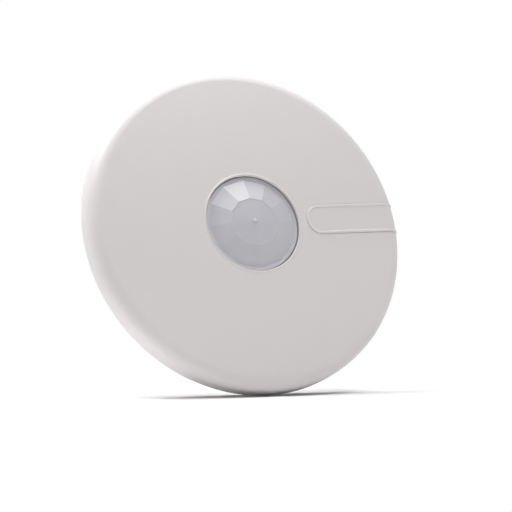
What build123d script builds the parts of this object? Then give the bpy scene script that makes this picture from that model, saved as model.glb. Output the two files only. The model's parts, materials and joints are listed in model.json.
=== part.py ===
from build123d import *
from math import atan2, cos, radians, sin, sqrt
import os

os.makedirs("parts", exist_ok=True)

# Ceiling motion detector: a shallow white disc with a faceted infrared lens in its middle.
# Frame: the ceiling face is the plane y = 0 and looks along +Y, into the ceiling. The lens looks
# along -Y, into the room. A depth is a distance from the ceiling face into the room. +Z is up as
# the disc stands on its rim, and the name strip lies towards +X. All sizes are in millimetres.

# Base tray
base_inset = 5.5
base_floor = 2.0
base_wall = 2.0
base_depth = 11.0
base_edge_round = 1.0
floor_rib_count = 8
floor_rib_thick = 1.0
floor_rib_rise = 1.2
floor_rib_start = 12.0
floor_rib_end = 38.0

# Front cover
cover_radius = 63.5
cover_overlap = 3.0
cover_wall = 2.0
cover_rise = 12.0
corner_rise = 9.1
cover_round = 5.5
gusset_count = 10
gusset_pitch = 30.0
gusset_thick = 1.2
gusset_reach = 5.5
gusset_gap = 0.5
rib_count = 12
rib_thick = 1.0
rib_height = 1.2
rib_end_gap = 5.0

# Lens, its collar in the cover and the ring that holds it
aperture_radius = 18.8
aperture_draft = 0.4
aperture_edge_round = 0.5
lens_facets = 12
facet_ring_gap = 1.0
facet_ring_sink = 1.1
crown_inset = 7.9
crown_rise = 1.2
apex_rise = 0.8
apex_radius = 1.2
pip_radius = 0.55
pip_height = 0.35
lens_wall = 0.9
flange_reach = 2.2
flange_thick = 1.2
flange_gap = 0.15
flange_sink = 3.4
collar_wall = 2.0
collar_tail = 0.4
retainer_plate = 1.4
retainer_skirt = 1.2
retainer_gap = 0.15
retainer_top_gap = 1.2
retainer_hold = 3.8
snap_count = 4
snap_turn = 45.0
snap_width = 3.0
snap_height = 0.7
snap_proud = 0.8
snap_gap = 0.2
snap_root = 0.6

# Name strip and the channel that it slides in
strip_lens_gap = 3.7
strip_half_width = 5.85
strip_thick = 1.5
strip_gap = 0.12
strip_floor_gap = 0.1
strip_floor = 1.0
bead_width = 1.0
bead_height = 0.45
tongue_reach = 0.9
tongue_thick = 0.7
tongue_lead = 1.0
tongue_end_gap = 6.4
strip_lip_thick = 2.2
strip_lip_proud = 0.4
strip_lip_rise = 4.2
strip_lip_gap = 0.2
channel_rim = 1.6

# Hinge at the rim opposite the strip
hinge_inset = 1.8
hinge_rise = 1.2
hinge_bar_radius = 1.2
hinge_bar_gap = 0.05
hinge_lug_side = 0.6
hinge_stem_outer = 0.4
hinge_lug_thick = 3.0
hinge_lug_pitch = 12.0
hook_wall = 1.25
hook_side_gap = 1.0
hook_mouth_share = 0.8
notch_gap = 1.0
notch_side_gap = 1.5

# Captive lock screw under the strip, and its posts
lock_inset = 11.0
lock_head_radius = 2.9
lock_head_height = 1.9
lock_head_gap = 0.3
lock_head_sink = 2.5
lock_shank_radius = 1.4
lock_shank_gap = 0.15
lock_boss_wall = 1.5
lock_boss_floor = 1.4
lock_entry = 3.4
lock_washer_radius = 2.6
lock_washer_thick = 0.5
lock_post_gap = 0.8
lock_post_radius = 3.2
lock_post_bore_gap = 0.3
drive_slot_width = 0.7
drive_slot_depth = 1.0

# Screw slots in the floor, cable opening and knock-outs
slot_inset_x = 28.0
slot_inset_z = 18.0
slot_radius = 2.2
slot_length = 8.4
slot_pad_rim = 2.4
slot_pad_rise = 1.0
cable_width = 26.0
cable_height = 9.0
cable_inset = 11.5
cable_corner = 2.5
cable_rim = 1.2
cable_rim_rise = 1.2
knockout_angles = (238.0, 302.0)
knockout_width = 8.0
knockout_height = 5.0
knockout_skin = 0.7

# Circuit board and its posts
board_lift = 3.0
board_thick = 1.6
board_radius = 45.5
board_flat_z = -36.5
board_notch_gap = 1.0
post_inset_x = 12.5
post_inset_z = 24.5
post_radius = 2.7
board_screw_radius = 1.1
board_screw_gap = 0.05
board_screw_head_radius = 2.2
board_screw_head_height = 1.5
board_screw_depth = 2.2

# Infrared sensor
holder_radius = 5.2
holder_thick = 2.0
can_radius = 4.1
can_height = 4.2
can_rim_radius = 4.6
can_rim_thick = 0.5
window_width = 4.0
window_height = 3.0
window_sink = 0.3
lead_radius = 0.25
lead_gap = 0.1
lead_circle = 2.54
lead_tail = 1.0

# Walk test light
led_x = 9.6
led_z = -8.8
led_radius = 1.5
led_height = 3.2
led_rim_radius = 1.9
led_rim_thick = 0.8

# Terminal block
terminal_count = 6
terminal_pitch = 5.0
terminal_depth = 7.6
terminal_height = 8.6
terminal_slope = 1.8
entry_size = 3.2
entry_rise = 1.0
entry_depth = 5.2
clamp_wall = 0.45
clamp_length = 4.0
terminal_screw_radius = 1.45
terminal_screw_gap = 0.1
terminal_screw_sink = 0.8

# Tamper switch
tamper_x = 28.0
tamper_z = 28.0
tamper_side = 6.0
tamper_height = 3.4
tamper_stem_radius = 1.6
tamper_stem_gap = 0.08
tamper_stem_socket = 1.6
tamper_stem_proud = 4.4
tamper_rib_radius = 2.2
tamper_rib_gap = 0.05

# Switch bank
switch_x = 23.0
switch_z = 14.0
switch_count = 3
switch_pitch = 2.54
switch_body_height = 6.2
switch_rise = 3.0
switch_window_length = 3.2
switch_window_width = 1.3
switch_window_sink = 1.0
slider_length = 1.3
slider_gap = 0.15
slider_proud = 0.7

# Sensitivity trimmer
trimmer_x = -22.0
trimmer_z = 15.0
trimmer_side = 6.5
trimmer_height = 3.2
rotor_radius = 2.1
rotor_gap = 0.05
rotor_sink = 1.2
rotor_proud = 0.5

# Relay
relay_x = -35.0
relay_z = 0.0
relay_length = 15.5
relay_width = 7.6
relay_height = 8.2
relay_edge = 0.6

# Small parts on the board
processor_x = 4.0
processor_z = 20.5
processor_length = 10.0
amplifier_x = 0.0
amplifier_z = -19.0
amplifier_length = 8.7
chip_width = 3.9
chip_height = 1.5
chip_taper = 3.0
chip_pitch = 1.27
chip_foot_length = 1.1
chip_foot_width = 0.45
chip_foot_thick = 0.3
chip_foot_rise = 0.8
regulator_x = 22.0
regulator_z = -20.0
regulator_length = 6.5
regulator_width = 3.5
regulator_height = 1.7
crystal_x = 14.0
crystal_z = 27.0
crystal_length = 11.0
crystal_width = 4.6
crystal_height = 3.5
small_can_spots = ((-19.0, 29.0), (1.0, 32.0))
small_can_radius = 2.5
small_can_height = 5.5
large_can_spots = ((-9.0, 28.5),)
large_can_radius = 3.2
large_can_height = 7.0
can_base_thick = 0.8
can_groove_depth = 0.3
resistor_spots = ((-10.0, 12.0), (12.0, 14.0), (14.0, -14.0), (-12.0, -22.0))
capacitor_spots = ((-14.0, 5.0), (30.0, -8.0), (-22.0, -8.0))
small_chip_count = 3
small_chip_pitch = 3.0
small_chip_length = 2.0
small_chip_width = 1.25
resistor_height = 0.6
capacitor_height = 1.0


# Radii and places that follow from the sizes above
cover_back = base_depth - cover_overlap
base_radius = cover_radius - base_inset
hinge_x = hinge_inset - base_radius
hinge_depth = cover_back + hinge_rise
lock_x = base_radius - lock_inset
cable_z = cable_inset - base_radius
slot_spacing_x = 2 * (base_radius - slot_inset_x)
slot_spacing_z = 2 * (base_radius - slot_inset_z)
post_x = board_radius - post_inset_x
post_z = board_radius - post_inset_z
facet_ring_radius = aperture_radius - facet_ring_gap
crown_radius = facet_ring_radius - crown_inset
flange_radius = aperture_radius + flange_reach
retainer_window_radius = flange_radius - retainer_hold
strip_inner_end = aperture_radius + strip_lens_gap


def at(depth):
    """The plane at a depth below the ceiling face, which looks into the room."""
    return Plane.XZ.offset(depth)


# The outer skin of the cover is a shallow dome on the detector's axis. It passes through the edge
# of the lens opening and through the point where it would meet the side wall with no rounding.
rise_difference = cover_rise - corner_rise
dome_centre = cover_back + (
    cover_rise**2 - corner_rise**2 + aperture_radius**2 - cover_radius**2
) / (2 * rise_difference)
dome_radius = sqrt((cover_back + cover_rise - dome_centre) ** 2 + aperture_radius**2)


def dome_depth(radius):
    """The depth of the cover's outer skin at a distance from the detector's axis."""
    return dome_centre + sqrt(dome_radius**2 - radius**2)


def dome_section(radius, back, shift, rounding):
    """Half section of a drum from a depth up to the dome, with the dome moved out by shift."""
    corner = (radius, -dome_depth(radius) - shift)
    middle = (radius / 2, -dome_depth(radius / 2) - shift)
    top = (0, -dome_depth(0) - shift)
    with BuildLine() as outline:
        Polyline(top, (0, -back), (radius, -back), corner)
        ThreePointArc(corner, middle, top)
    make_face(outline.edges())
    fillet(vertices().sort_by_distance(corner)[0], rounding)


def ring_section(inner, outer, back, front):
    """Half section of a ring between two radii and two depths."""
    with BuildLine() as outline:
        Polyline((inner, -back), (outer, -back), (outer, -front), (inner, -front), close=True)
    make_face(outline.edges())


def notched_disc(wall):
    """The outline of the tray with its hinge notch, drawn in by a wall."""
    Circle(base_radius - wall)
    with Locations((notch_x + wall - base_radius / 2, 0)):
        Rectangle(base_radius, 2 * (notch_half_width + wall), mode=Mode.SUBTRACT)


def tongue(half_width, reach):
    """A tongue with a round end about the origin, reaching out along local X."""
    Circle(half_width)
    with Locations((reach / 2, 0)):
        Rectangle(reach, 2 * half_width)


def cross_slot(size):
    """The outline of a cross recess for a screwdriver."""
    Rectangle(size, drive_slot_width)
    Rectangle(drive_slot_width, size)


def radial_plane(angle):
    """The plane through the detector's axis at an angle from +X towards +Z."""
    turn = radians(angle)
    return Plane(origin=(0, 0, 0), x_dir=(cos(turn), 0, sin(turn)), z_dir=(-sin(turn), 0, cos(turn)))


def gusset_section():
    """A web across the inner corner between the cover's side and its front."""
    back = base_depth + gusset_gap
    side = cover_radius - cover_wall / 2
    bend_x = cover_radius - cover_round
    bend_depth = cover_back + corner_rise - cover_round
    bend_radius = cover_round - cover_wall / 2
    bend_middle = bend_radius / sqrt(2)
    front = bend_depth + bend_radius
    with BuildLine() as outline:
        Polyline(
            (side, -bend_depth),
            (side, -back),
            (side - cover_wall, -back),
            (side - gusset_reach, -front + cover_wall / 4),
            (side - gusset_reach, -front),
            (bend_x, -front),
        )
        bend = (bend_x + bend_middle, -bend_depth - bend_middle)
        ThreePointArc((bend_x, -front), bend, (side, -bend_depth))
    make_face(outline.edges())


def rib_section():
    """A low rib under the cover's front, from the lens ring out to the side."""
    start = skirt_outer + rib_end_gap / 4
    end = base_radius - base_wall - rib_end_gap
    middle = (start + end) / 2
    root = cover_wall / 2
    crest = cover_wall + rib_height
    start_depth = dome_depth(start)
    middle_depth = dome_depth(middle)
    end_depth = dome_depth(end)
    with BuildLine() as outline:
        ThreePointArc((start, root - start_depth), (middle, root - middle_depth), (end, root - end_depth))
        Line((end, root - end_depth), (end, crest - end_depth))
        ThreePointArc((end, crest - end_depth), (middle, crest - middle_depth), (start, crest - start_depth))
        Line((start, crest - start_depth), (start, root - start_depth))
    make_face(outline.edges())


def hook_section():
    """A hook round the hinge bar, open towards the ceiling, with its arm up to the cover's front."""
    arm_front = dome_depth(hinge_x) - cover_wall / 2
    with Locations((hinge_x, -hinge_depth)):
        Circle(hook_radius)
    with Locations((hinge_x + hook_wall / 2, -(hinge_depth + arm_front) / 2)):
        Rectangle(2 * hook_radius - hook_wall, arm_front - hinge_depth)
    with Locations((hinge_x, -hinge_depth)):
        Circle(hinge_bar_radius + hinge_bar_gap, mode=Mode.SUBTRACT)
    with Locations((hinge_x, -hinge_depth + hook_radius / 2)):
        Rectangle(2 * hook_mouth_share * hinge_bar_radius, hook_radius, mode=Mode.SUBTRACT)


def is_opening_edge(edge):
    """Whether an edge is the front edge of the lens opening."""
    return abs(edge.radius - aperture_radius) < aperture_draft / 4


def facet_outline(depth, radius):
    """The many-sided outline of the lens at a depth."""
    with BuildSketch(at(depth)) as outline:
        RegularPolygon(radius, lens_facets)
    return outline.sketch


def lens_form(wall):
    """The faceted ring and crown of the lens, made smaller all round by a wall."""
    back = flange_back if wall else flange_front
    skirt = facet_outline(back, facet_ring_radius - wall)
    facets = facet_outline(facet_ring_depth - wall, facet_ring_radius - wall)
    crown = facet_outline(crown_depth - wall, crown_radius - wall / 2)
    apex = facet_outline(apex_depth - wall, apex_radius)
    extrude(skirt, amount=facet_ring_depth - wall - back)
    loft([facets, crown], ruled=True)
    loft([crown, apex], ruled=True)


def slider_x(index):
    """The place of a slider along the switch bank."""
    return switch_x + (index - (switch_count - 1) / 2) * switch_pitch


def chip_body(x, z, length, width, height):
    """The moulded body of a chip, which stands on the board's face."""
    with BuildSketch(at(board_front)) as outline:
        with Locations((x, z)):
            Rectangle(length, width)
    extrude(outline.sketch, amount=height, taper=chip_taper)


def foot_section(x, z, side, width):
    """The side view of one bent foot of a chip."""
    with BuildSketch(Plane.YZ.offset(x)) as section:
        with BuildLine():
            Polyline(
                (-board_front, z + side * width / 2),
                (-board_front, z + side * (width / 2 + chip_foot_length)),
                (-board_front - chip_foot_thick, z + side * (width / 2 + chip_foot_length)),
                (-board_front - chip_foot_rise, z + side * (width / 2 + chip_foot_thick)),
                (-board_front - chip_foot_rise, z + side * width / 2),
                close=True,
            )
        make_face()
    return section.sketch


def foot_row(x, z, width, count, foot_width):
    """Rows of bent feet along both long sides of a chip."""
    for side in (-1, 1):
        for index in range(count):
            foot_x = x + (index - (count - 1) / 2) * chip_pitch * foot_width / chip_foot_width
            extrude(foot_section(foot_x, z, side, width), amount=foot_width / 2, both=True)


def discs(spots, radius, depth, height):
    """Discs of one radius at several spots, which stand on a depth."""
    with BuildSketch(at(depth)) as outline:
        with Locations(*spots):
            Circle(radius)
    extrude(outline.sketch, amount=height)


def capacitor_can(spots, radius, height):
    """Upright capacitor cans with a groove above the base."""
    groove_back = board_front + can_base_thick
    groove_front = groove_back + can_base_thick / 2
    discs(spots, radius, board_front, can_base_thick)
    discs(spots, radius - can_groove_depth, groove_back, can_base_thick / 2)
    discs(spots, radius, groove_front, board_front + height - groove_front)


def chip_rows(spots, height):
    """Short rows of small chips, side by side."""
    with BuildSketch(at(board_front)) as outline:
        with Locations(*spots):
            with GridLocations(small_chip_pitch, 1, small_chip_count, 1):
                Rectangle(small_chip_width, small_chip_length)
    extrude(outline.sketch, amount=height)


# Depths that follow from the sizes above, from the ceiling face towards the room
board_back = base_floor + board_lift
board_front = board_back + board_thick
aperture_depth = cover_back + cover_rise
facet_ring_depth = aperture_depth - facet_ring_sink
crown_depth = aperture_depth + crown_rise
apex_depth = crown_depth + apex_rise
flange_front = aperture_depth - flange_sink
flange_back = flange_front - flange_thick
collar_back = flange_back - collar_tail
collar_radius = flange_radius + flange_gap + collar_wall
skirt_inner = collar_radius + retainer_gap
skirt_outer = skirt_inner + retainer_skirt
retainer_back = collar_back - retainer_plate
retainer_front = dome_depth(skirt_outer) - cover_wall - retainer_top_gap
snap_back = collar_back + (retainer_front - collar_back - snap_height) / 2

# The strip slides along the chord of the dome below it, so its underside is flat
strip_chord_end = cover_radius - cover_round
strip_tilt = atan2(
    dome_depth(strip_inner_end) - dome_depth(strip_chord_end), strip_chord_end - strip_inner_end
)
strip_round_x = strip_inner_end + strip_half_width
strip_round_depth = dome_depth(strip_inner_end) - strip_half_width * sin(strip_tilt) / cos(strip_tilt)
strip_plane = Plane(
    origin=(strip_round_x, -strip_round_depth, 0),
    x_dir=(cos(strip_tilt), sin(strip_tilt), 0),
    z_dir=(sin(strip_tilt), -cos(strip_tilt), 0),
)
strip_reach = (cover_radius + strip_lip_proud - strip_round_x) / cos(strip_tilt) + 2
tongue_end = strip_reach - 2 - tongue_end_gap
channel_half_width = strip_half_width + strip_gap
channel_sink = strip_thick + strip_floor_gap
channel_bottom = channel_sink + strip_floor
lip_back = cover_back + strip_lip_rise

# The lock screw's seat, boss and post
channel_depth_at_lock = (
    strip_round_depth - (lock_x - strip_round_x) * sin(strip_tilt) / cos(strip_tilt) - channel_sink
)
lock_seat = channel_depth_at_lock - lock_head_sink
lock_boss_back = lock_seat - lock_boss_floor
lock_boss_radius = lock_head_radius + lock_head_gap + lock_boss_wall
lock_post_front = lock_boss_back - lock_post_gap
lock_tip = lock_post_front - lock_entry

hook_radius = hinge_bar_radius + hinge_bar_gap + hook_wall
hook_width = hinge_lug_pitch - hinge_lug_thick - 2 * hook_side_gap
notch_x = hinge_x + hook_radius + notch_gap
notch_half_width = hinge_lug_pitch + hinge_lug_thick / 2 + notch_side_gap

slot_spots = GridLocations(slot_spacing_x, slot_spacing_z, 2, 2)
post_spots = GridLocations(2 * post_x, 2 * post_z, 2, 2)
can_back = board_front + holder_thick
terminal_top = board_front + terminal_height
entry_top = board_front + entry_rise + entry_size
tamper_front = board_front + tamper_height
tamper_stem_front = tamper_front + tamper_stem_proud
slider_z = switch_z - switch_window_length / 2 + slider_gap + slider_length / 2
channel_mouth = cover_wall + channel_rim

lead_spots = PolarLocations(lead_circle, 3, start_angle=90)
entry_plane = Plane(origin=(0, 0, board_flat_z), x_dir=(1, 0, 0), z_dir=(0, 0, 1))
entry_middle = board_front + entry_rise + entry_size / 2
terminal_screw_z = board_flat_z + entry_depth - terminal_screw_radius - terminal_screw_gap

# Base plate: a tray that screws to the ceiling, with the hinge bar in a notch of its wall
with BuildPart() as base_plate:
    with BuildSketch(at(0)):
        Circle(base_radius)
    extrude(amount=base_floor)
    fillet(base_plate.edges().filter_by(GeomType.CIRCLE).sort_by(Axis.Y)[-1], base_edge_round)
    with BuildSketch(at(base_floor)):
        notched_disc(0)
    extrude(amount=base_depth - base_floor)
    with BuildSketch(at(base_floor)):
        notched_disc(base_wall)
    extrude(amount=base_depth - base_floor, mode=Mode.SUBTRACT)
    # Hinge bar on three lugs
    with BuildSketch(Plane.XY) as lug_section:
        with Locations((hinge_x, -hinge_depth)):
            Circle(hinge_bar_radius + hinge_lug_side)
        stem_inner = hinge_bar_radius + hinge_lug_side
        with Locations((hinge_x + (stem_inner - hinge_stem_outer) / 2, -(hinge_depth + base_floor) / 2)):
            Rectangle(stem_inner + hinge_stem_outer, hinge_depth - base_floor)
    for lug_z in (-hinge_lug_pitch, 0, hinge_lug_pitch):
        with BuildSketch(Plane.XY.offset(lug_z)):
            add(lug_section.sketch)
        extrude(amount=hinge_lug_thick / 2, both=True)
    with BuildSketch(Plane.XY):
        with Locations((hinge_x, -hinge_depth)):
            Circle(hinge_bar_radius)
    extrude(amount=hinge_lug_pitch, both=True)
    # Posts for the board and for the lock screw
    with BuildSketch(at(base_floor)):
        with post_spots:
            Circle(post_radius)
    extrude(amount=board_lift)
    with BuildSketch(at(base_floor)):
        with Locations((lock_x, 0)):
            Circle(lock_post_radius)
    extrude(amount=lock_post_front - base_floor)
    # Raised pads round the screw slots, a raised rim round the cable opening and ribs on the floor
    with BuildSketch(at(base_floor)):
        with slot_spots:
            SlotOverall(slot_length + 2 * slot_pad_rim, 2 * (slot_radius + slot_pad_rim))
    extrude(amount=slot_pad_rise)
    with BuildSketch(at(base_floor)):
        with Locations((0, cable_z)):
            rim_width = cable_width + 2 * cable_rim
            rim_height = cable_height + 2 * cable_rim
            RectangleRounded(rim_width, rim_height, cable_corner + cable_rim)
    extrude(amount=cable_rim_rise)
    with BuildSketch(at(base_floor)):
        with PolarLocations((floor_rib_start + floor_rib_end) / 2, floor_rib_count):
            Rectangle(floor_rib_end - floor_rib_start, floor_rib_thick)
        Circle(floor_rib_start + floor_rib_thick / 2)
        Circle(floor_rib_start - floor_rib_thick / 2, mode=Mode.SUBTRACT)
    extrude(amount=floor_rib_rise)
    with BuildSketch(at(0)):
        with slot_spots:
            SlotOverall(slot_length, 2 * slot_radius)
        with Locations((0, cable_z)):
            RectangleRounded(cable_width, cable_height, cable_corner)
    extrude(amount=base_floor + cable_rim_rise, mode=Mode.SUBTRACT)
    with BuildSketch(at(board_back)):
        with post_spots:
            Circle(board_screw_radius + board_screw_gap)
    extrude(amount=-board_screw_depth, mode=Mode.SUBTRACT)
    with BuildSketch(at(lock_post_front)):
        with Locations((lock_x, 0)):
            Circle(lock_shank_radius + lock_post_bore_gap)
    extrude(amount=-lock_entry - 1, mode=Mode.SUBTRACT)
    # Thinned windows in the wall, to be broken out for a surface cable
    with BuildSketch(at(base_floor)):
        for angle in knockout_angles:
            with PolarLocations(base_radius - knockout_skin - base_wall, 1, start_angle=angle):
                Rectangle(2 * base_wall, knockout_width)
    extrude(amount=knockout_height, mode=Mode.SUBTRACT)
base_plate.part.label = "base_plate"
export_step(base_plate.part, "parts/base_plate.step")

# Front cover: a domed shell with the lens collar, ribs, hinge hooks and the strip's channel
with BuildPart() as channel_block:
    with BuildSketch(strip_plane.offset(-channel_bottom)):
        tongue(channel_half_width + tongue_reach + channel_rim, strip_reach)
    extrude(amount=channel_bottom)
    with BuildSketch(at(lip_back - strip_lip_gap - channel_rim)):
        with Locations((cover_radius - channel_mouth / 2, 0)):
            Rectangle(channel_mouth, 2 * (channel_half_width + channel_rim))
    extrude(amount=dome_depth(cover_radius) - lip_back)
    with BuildSketch(Plane.XY):
        half_wall = cover_wall / 2
        dome_section(cover_radius - half_wall, cover_back, -half_wall, cover_round - half_wall)
    revolve(axis=Axis.Y, mode=Mode.INTERSECT)

with BuildPart() as front_cover:
    with BuildSketch(Plane.XY):
        dome_section(cover_radius, cover_back, 0, cover_round)
    revolve(axis=Axis.Y)
    with BuildSketch(Plane.XY):
        dome_section(cover_radius - cover_wall, cover_back, -cover_wall, cover_round - cover_wall)
    revolve(axis=Axis.Y, mode=Mode.SUBTRACT)
    for index in range(gusset_count):
        with BuildSketch(radial_plane(gusset_pitch * (index - (gusset_count - 1) / 2))):
            gusset_section()
        extrude(amount=gusset_thick / 2, both=True)
    for index in range(1, rib_count):
        with BuildSketch(radial_plane(360 / rib_count * index)):
            rib_section()
        extrude(amount=rib_thick / 2, both=True)
    add(channel_block.part)
    # Collar round the lens opening, with a seat for the lens behind it
    with BuildSketch(Plane.XY):
        collar_front = dome_depth(collar_radius) - cover_wall / 2
        ring_section(aperture_radius - aperture_draft, collar_radius, collar_back, collar_front)
    revolve(axis=Axis.Y)
    with BuildSketch(Plane.XY):
        ring_section(0, flange_radius + flange_gap, collar_back, flange_front)
    revolve(axis=Axis.Y, mode=Mode.SUBTRACT)
    with BuildSketch(Plane.XY):
        with BuildLine():
            Polyline(
                (0, -flange_front),
                (aperture_radius - aperture_draft, -flange_front),
                (aperture_radius, -aperture_depth),
                (aperture_radius, -crown_depth),
                (0, -crown_depth),
                close=True,
            )
        make_face()
    revolve(axis=Axis.Y, mode=Mode.SUBTRACT)
    fillet(
        front_cover.edges().filter_by(GeomType.CIRCLE).filter_by(is_opening_edge),
        aperture_edge_round,
    )
    with BuildSketch(at(snap_back)):
        with PolarLocations(collar_radius + (snap_proud - snap_root) / 2, snap_count, start_angle=snap_turn):
            Rectangle(snap_proud + snap_root, snap_width)
    extrude(amount=snap_height)
    # Boss and seat of the lock screw
    with BuildSketch(at(lock_boss_back)):
        with Locations((lock_x, 0)):
            Circle(lock_boss_radius)
    extrude(amount=lock_boss_floor + lock_head_sink)
    with BuildSketch(at(lock_seat)):
        with Locations((lock_x, 0)):
            Circle(lock_head_radius + lock_head_gap)
    extrude(amount=lock_head_sink + channel_sink + bead_height, mode=Mode.SUBTRACT)
    with BuildSketch(at(lock_boss_back)):
        with Locations((lock_x, 0)):
            Circle(lock_shank_radius + lock_shank_gap)
    extrude(amount=lock_boss_floor, mode=Mode.SUBTRACT)
    # Channel of the name strip, its side grooves and the pocket for its lip
    with BuildSketch(strip_plane.offset(-channel_sink)):
        tongue(channel_half_width, strip_reach)
    extrude(amount=channel_sink + 2 * bead_height, mode=Mode.SUBTRACT)
    with BuildSketch(strip_plane.offset(-channel_sink)):
        with Locations((strip_reach / 2, 0)):
            Rectangle(strip_reach, 2 * (channel_half_width + tongue_reach))
    extrude(amount=tongue_thick + 2 * strip_floor_gap, mode=Mode.SUBTRACT)
    with BuildSketch(at(lip_back - strip_lip_gap)):
        with Locations((cover_radius + (strip_lip_proud - strip_lip_thick - strip_lip_gap) / 2, 0)):
            Rectangle(strip_lip_thick + strip_lip_gap + strip_lip_proud, 2 * channel_half_width)
    extrude(amount=aperture_depth - lip_back, mode=Mode.SUBTRACT)
    # Hooks that clip on to the hinge bar
    for hook_z in (-hinge_lug_pitch / 2, hinge_lug_pitch / 2):
        with BuildSketch(Plane.XY.offset(hook_z)):
            hook_section()
        extrude(amount=hook_width / 2, both=True)
    # Post that presses the tamper switch
    with BuildSketch(at(tamper_stem_front + tamper_rib_gap)):
        with Locations((tamper_x, tamper_z)):
            Circle(tamper_rib_radius)
    extrude(amount=dome_depth(sqrt(tamper_x**2 + tamper_z**2)) - cover_wall / 2 - tamper_stem_front)
front_cover.part.label = "front_cover"
export_step(front_cover.part, "parts/front_cover.step")

# Lens: a thin flanged cup with a ring of flat facets round a crown of the same number of sides
with BuildPart() as lens_hollow:
    lens_form(lens_wall)
with BuildPart() as lens:
    with BuildSketch(at(flange_back)):
        Circle(flange_radius)
    extrude(amount=flange_thick)
    lens_form(0)
    add(lens_hollow.part, mode=Mode.SUBTRACT)
    with BuildSketch(at(apex_depth)):
        Circle(pip_radius)
    extrude(amount=pip_height)
lens.part.label = "lens"
export_step(lens.part, "parts/lens.step")

# Ring that holds the lens in the collar, snapped over four pips
with BuildPart() as lens_retainer:
    with BuildSketch(Plane.XY):
        with BuildLine():
            Polyline(
                (retainer_window_radius, -retainer_back),
                (skirt_outer, -retainer_back),
                (skirt_outer, -retainer_front),
                (skirt_inner, -retainer_front),
                (skirt_inner, -collar_back),
                (flange_radius, -collar_back),
                (flange_radius, -flange_back),
                (retainer_window_radius, -flange_back),
                close=True,
            )
        make_face()
    revolve(axis=Axis.Y)
    with BuildSketch(at(snap_back - snap_gap)):
        with PolarLocations(skirt_outer, snap_count, start_angle=snap_turn):
            Rectangle(2 * (retainer_skirt + retainer_gap / 2), snap_width + 2 * snap_gap)
    extrude(amount=snap_height + 2 * snap_gap, mode=Mode.SUBTRACT)
lens_retainer.part.label = "lens_retainer"
export_step(lens_retainer.part, "parts/lens_retainer.step")

# Name strip: a bare tongue with a raised bead along its edge, which slides out over the rim
with BuildPart() as strip_field:
    with BuildSketch(strip_plane.offset(-strip_thick)):
        tongue(strip_half_width - bead_width, strip_reach)
    extrude(amount=strip_thick + 2 * bead_height)
    with BuildSketch(Plane.XY):
        dome_section(cover_radius, cover_back, 0, cover_round)
    revolve(axis=Axis.Y, mode=Mode.SUBTRACT)

with BuildPart() as name_strip:
    with BuildSketch(strip_plane.offset(-strip_thick)):
        tongue(strip_half_width, strip_reach)
    extrude(amount=strip_thick + 2 * bead_height)
    with BuildSketch(strip_plane.offset(-strip_thick)):
        with Locations(((tongue_lead + tongue_end) / 2, 0)):
            Rectangle(tongue_end - tongue_lead, 2 * (strip_half_width + tongue_reach))
    extrude(amount=tongue_thick)
    with BuildSketch(at(lip_back)):
        with Locations((cover_radius + (strip_lip_proud - strip_lip_thick) / 2, 0)):
            Rectangle(strip_lip_thick + strip_lip_proud, 2 * strip_half_width)
    extrude(amount=dome_depth(cover_radius) - lip_back)
    with BuildSketch(Plane.XY):
        dome_section(cover_radius + strip_lip_proud, cover_back, bead_height, cover_round)
    revolve(axis=Axis.Y, mode=Mode.INTERSECT)
    add(strip_field.part, mode=Mode.SUBTRACT)
name_strip.part.label = "name_strip"
export_step(name_strip.part, "parts/name_strip.step")

# Captive lock screw in the floor of the channel, and the washer that keeps it there
with BuildPart() as lock_screw:
    with BuildSketch(at(lock_seat)):
        with Locations((lock_x, 0)):
            Circle(lock_head_radius)
    extrude(amount=lock_head_height)
    with BuildSketch(at(lock_seat)):
        with Locations((lock_x, 0)):
            Circle(lock_shank_radius)
    extrude(amount=lock_tip - lock_seat)
    with BuildSketch(at(lock_seat + lock_head_height)):
        with Locations((lock_x, 0)):
            cross_slot(1.3 * lock_head_radius)
    extrude(amount=-drive_slot_depth, mode=Mode.SUBTRACT)
lock_screw.part.label = "lock_screw"
export_step(lock_screw.part, "parts/lock_screw.step")

with BuildPart() as lock_washer:
    with BuildSketch(at(lock_boss_back)):
        with Locations((lock_x, 0)):
            Circle(lock_washer_radius)
            Circle(lock_shank_radius, mode=Mode.SUBTRACT)
    extrude(amount=-lock_washer_thick)
lock_washer.part.label = "lock_washer"
export_step(lock_washer.part, "parts/lock_washer.step")

# Circuit board on its four posts
with BuildPart() as circuit_board:
    with BuildSketch(at(board_back)):
        Circle(board_radius)
        with Locations((0, board_flat_z - board_radius)):
            Rectangle(2 * board_radius, 2 * board_radius, mode=Mode.SUBTRACT)
        with Locations((lock_x, 0)):
            Circle(lock_post_radius + board_notch_gap, mode=Mode.SUBTRACT)
        with post_spots:
            Circle(board_screw_radius + board_screw_gap, mode=Mode.SUBTRACT)
        with lead_spots:
            Circle(lead_radius + lead_gap, mode=Mode.SUBTRACT)
    extrude(amount=board_thick)
circuit_board.part.label = "circuit_board"
export_step(circuit_board.part, "parts/circuit_board.step")

with BuildPart() as board_screws:
    with BuildSketch(at(board_front)):
        with post_spots:
            Circle(board_screw_head_radius)
    extrude(amount=board_screw_head_height)
    fillet(board_screws.edges().group_by(Axis.Y)[0], board_screw_head_height / 3)
    with BuildSketch(at(board_front)):
        with post_spots:
            Circle(board_screw_radius)
    extrude(amount=-board_thick - board_screw_depth)
    with BuildSketch(at(board_front + board_screw_head_height)):
        with post_spots:
            cross_slot(1.3 * board_screw_head_radius)
    extrude(amount=-drive_slot_depth, mode=Mode.SUBTRACT)
board_screws.part.label = "board_screws"
export_step(board_screws.part, "parts/board_screws.step")

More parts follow.
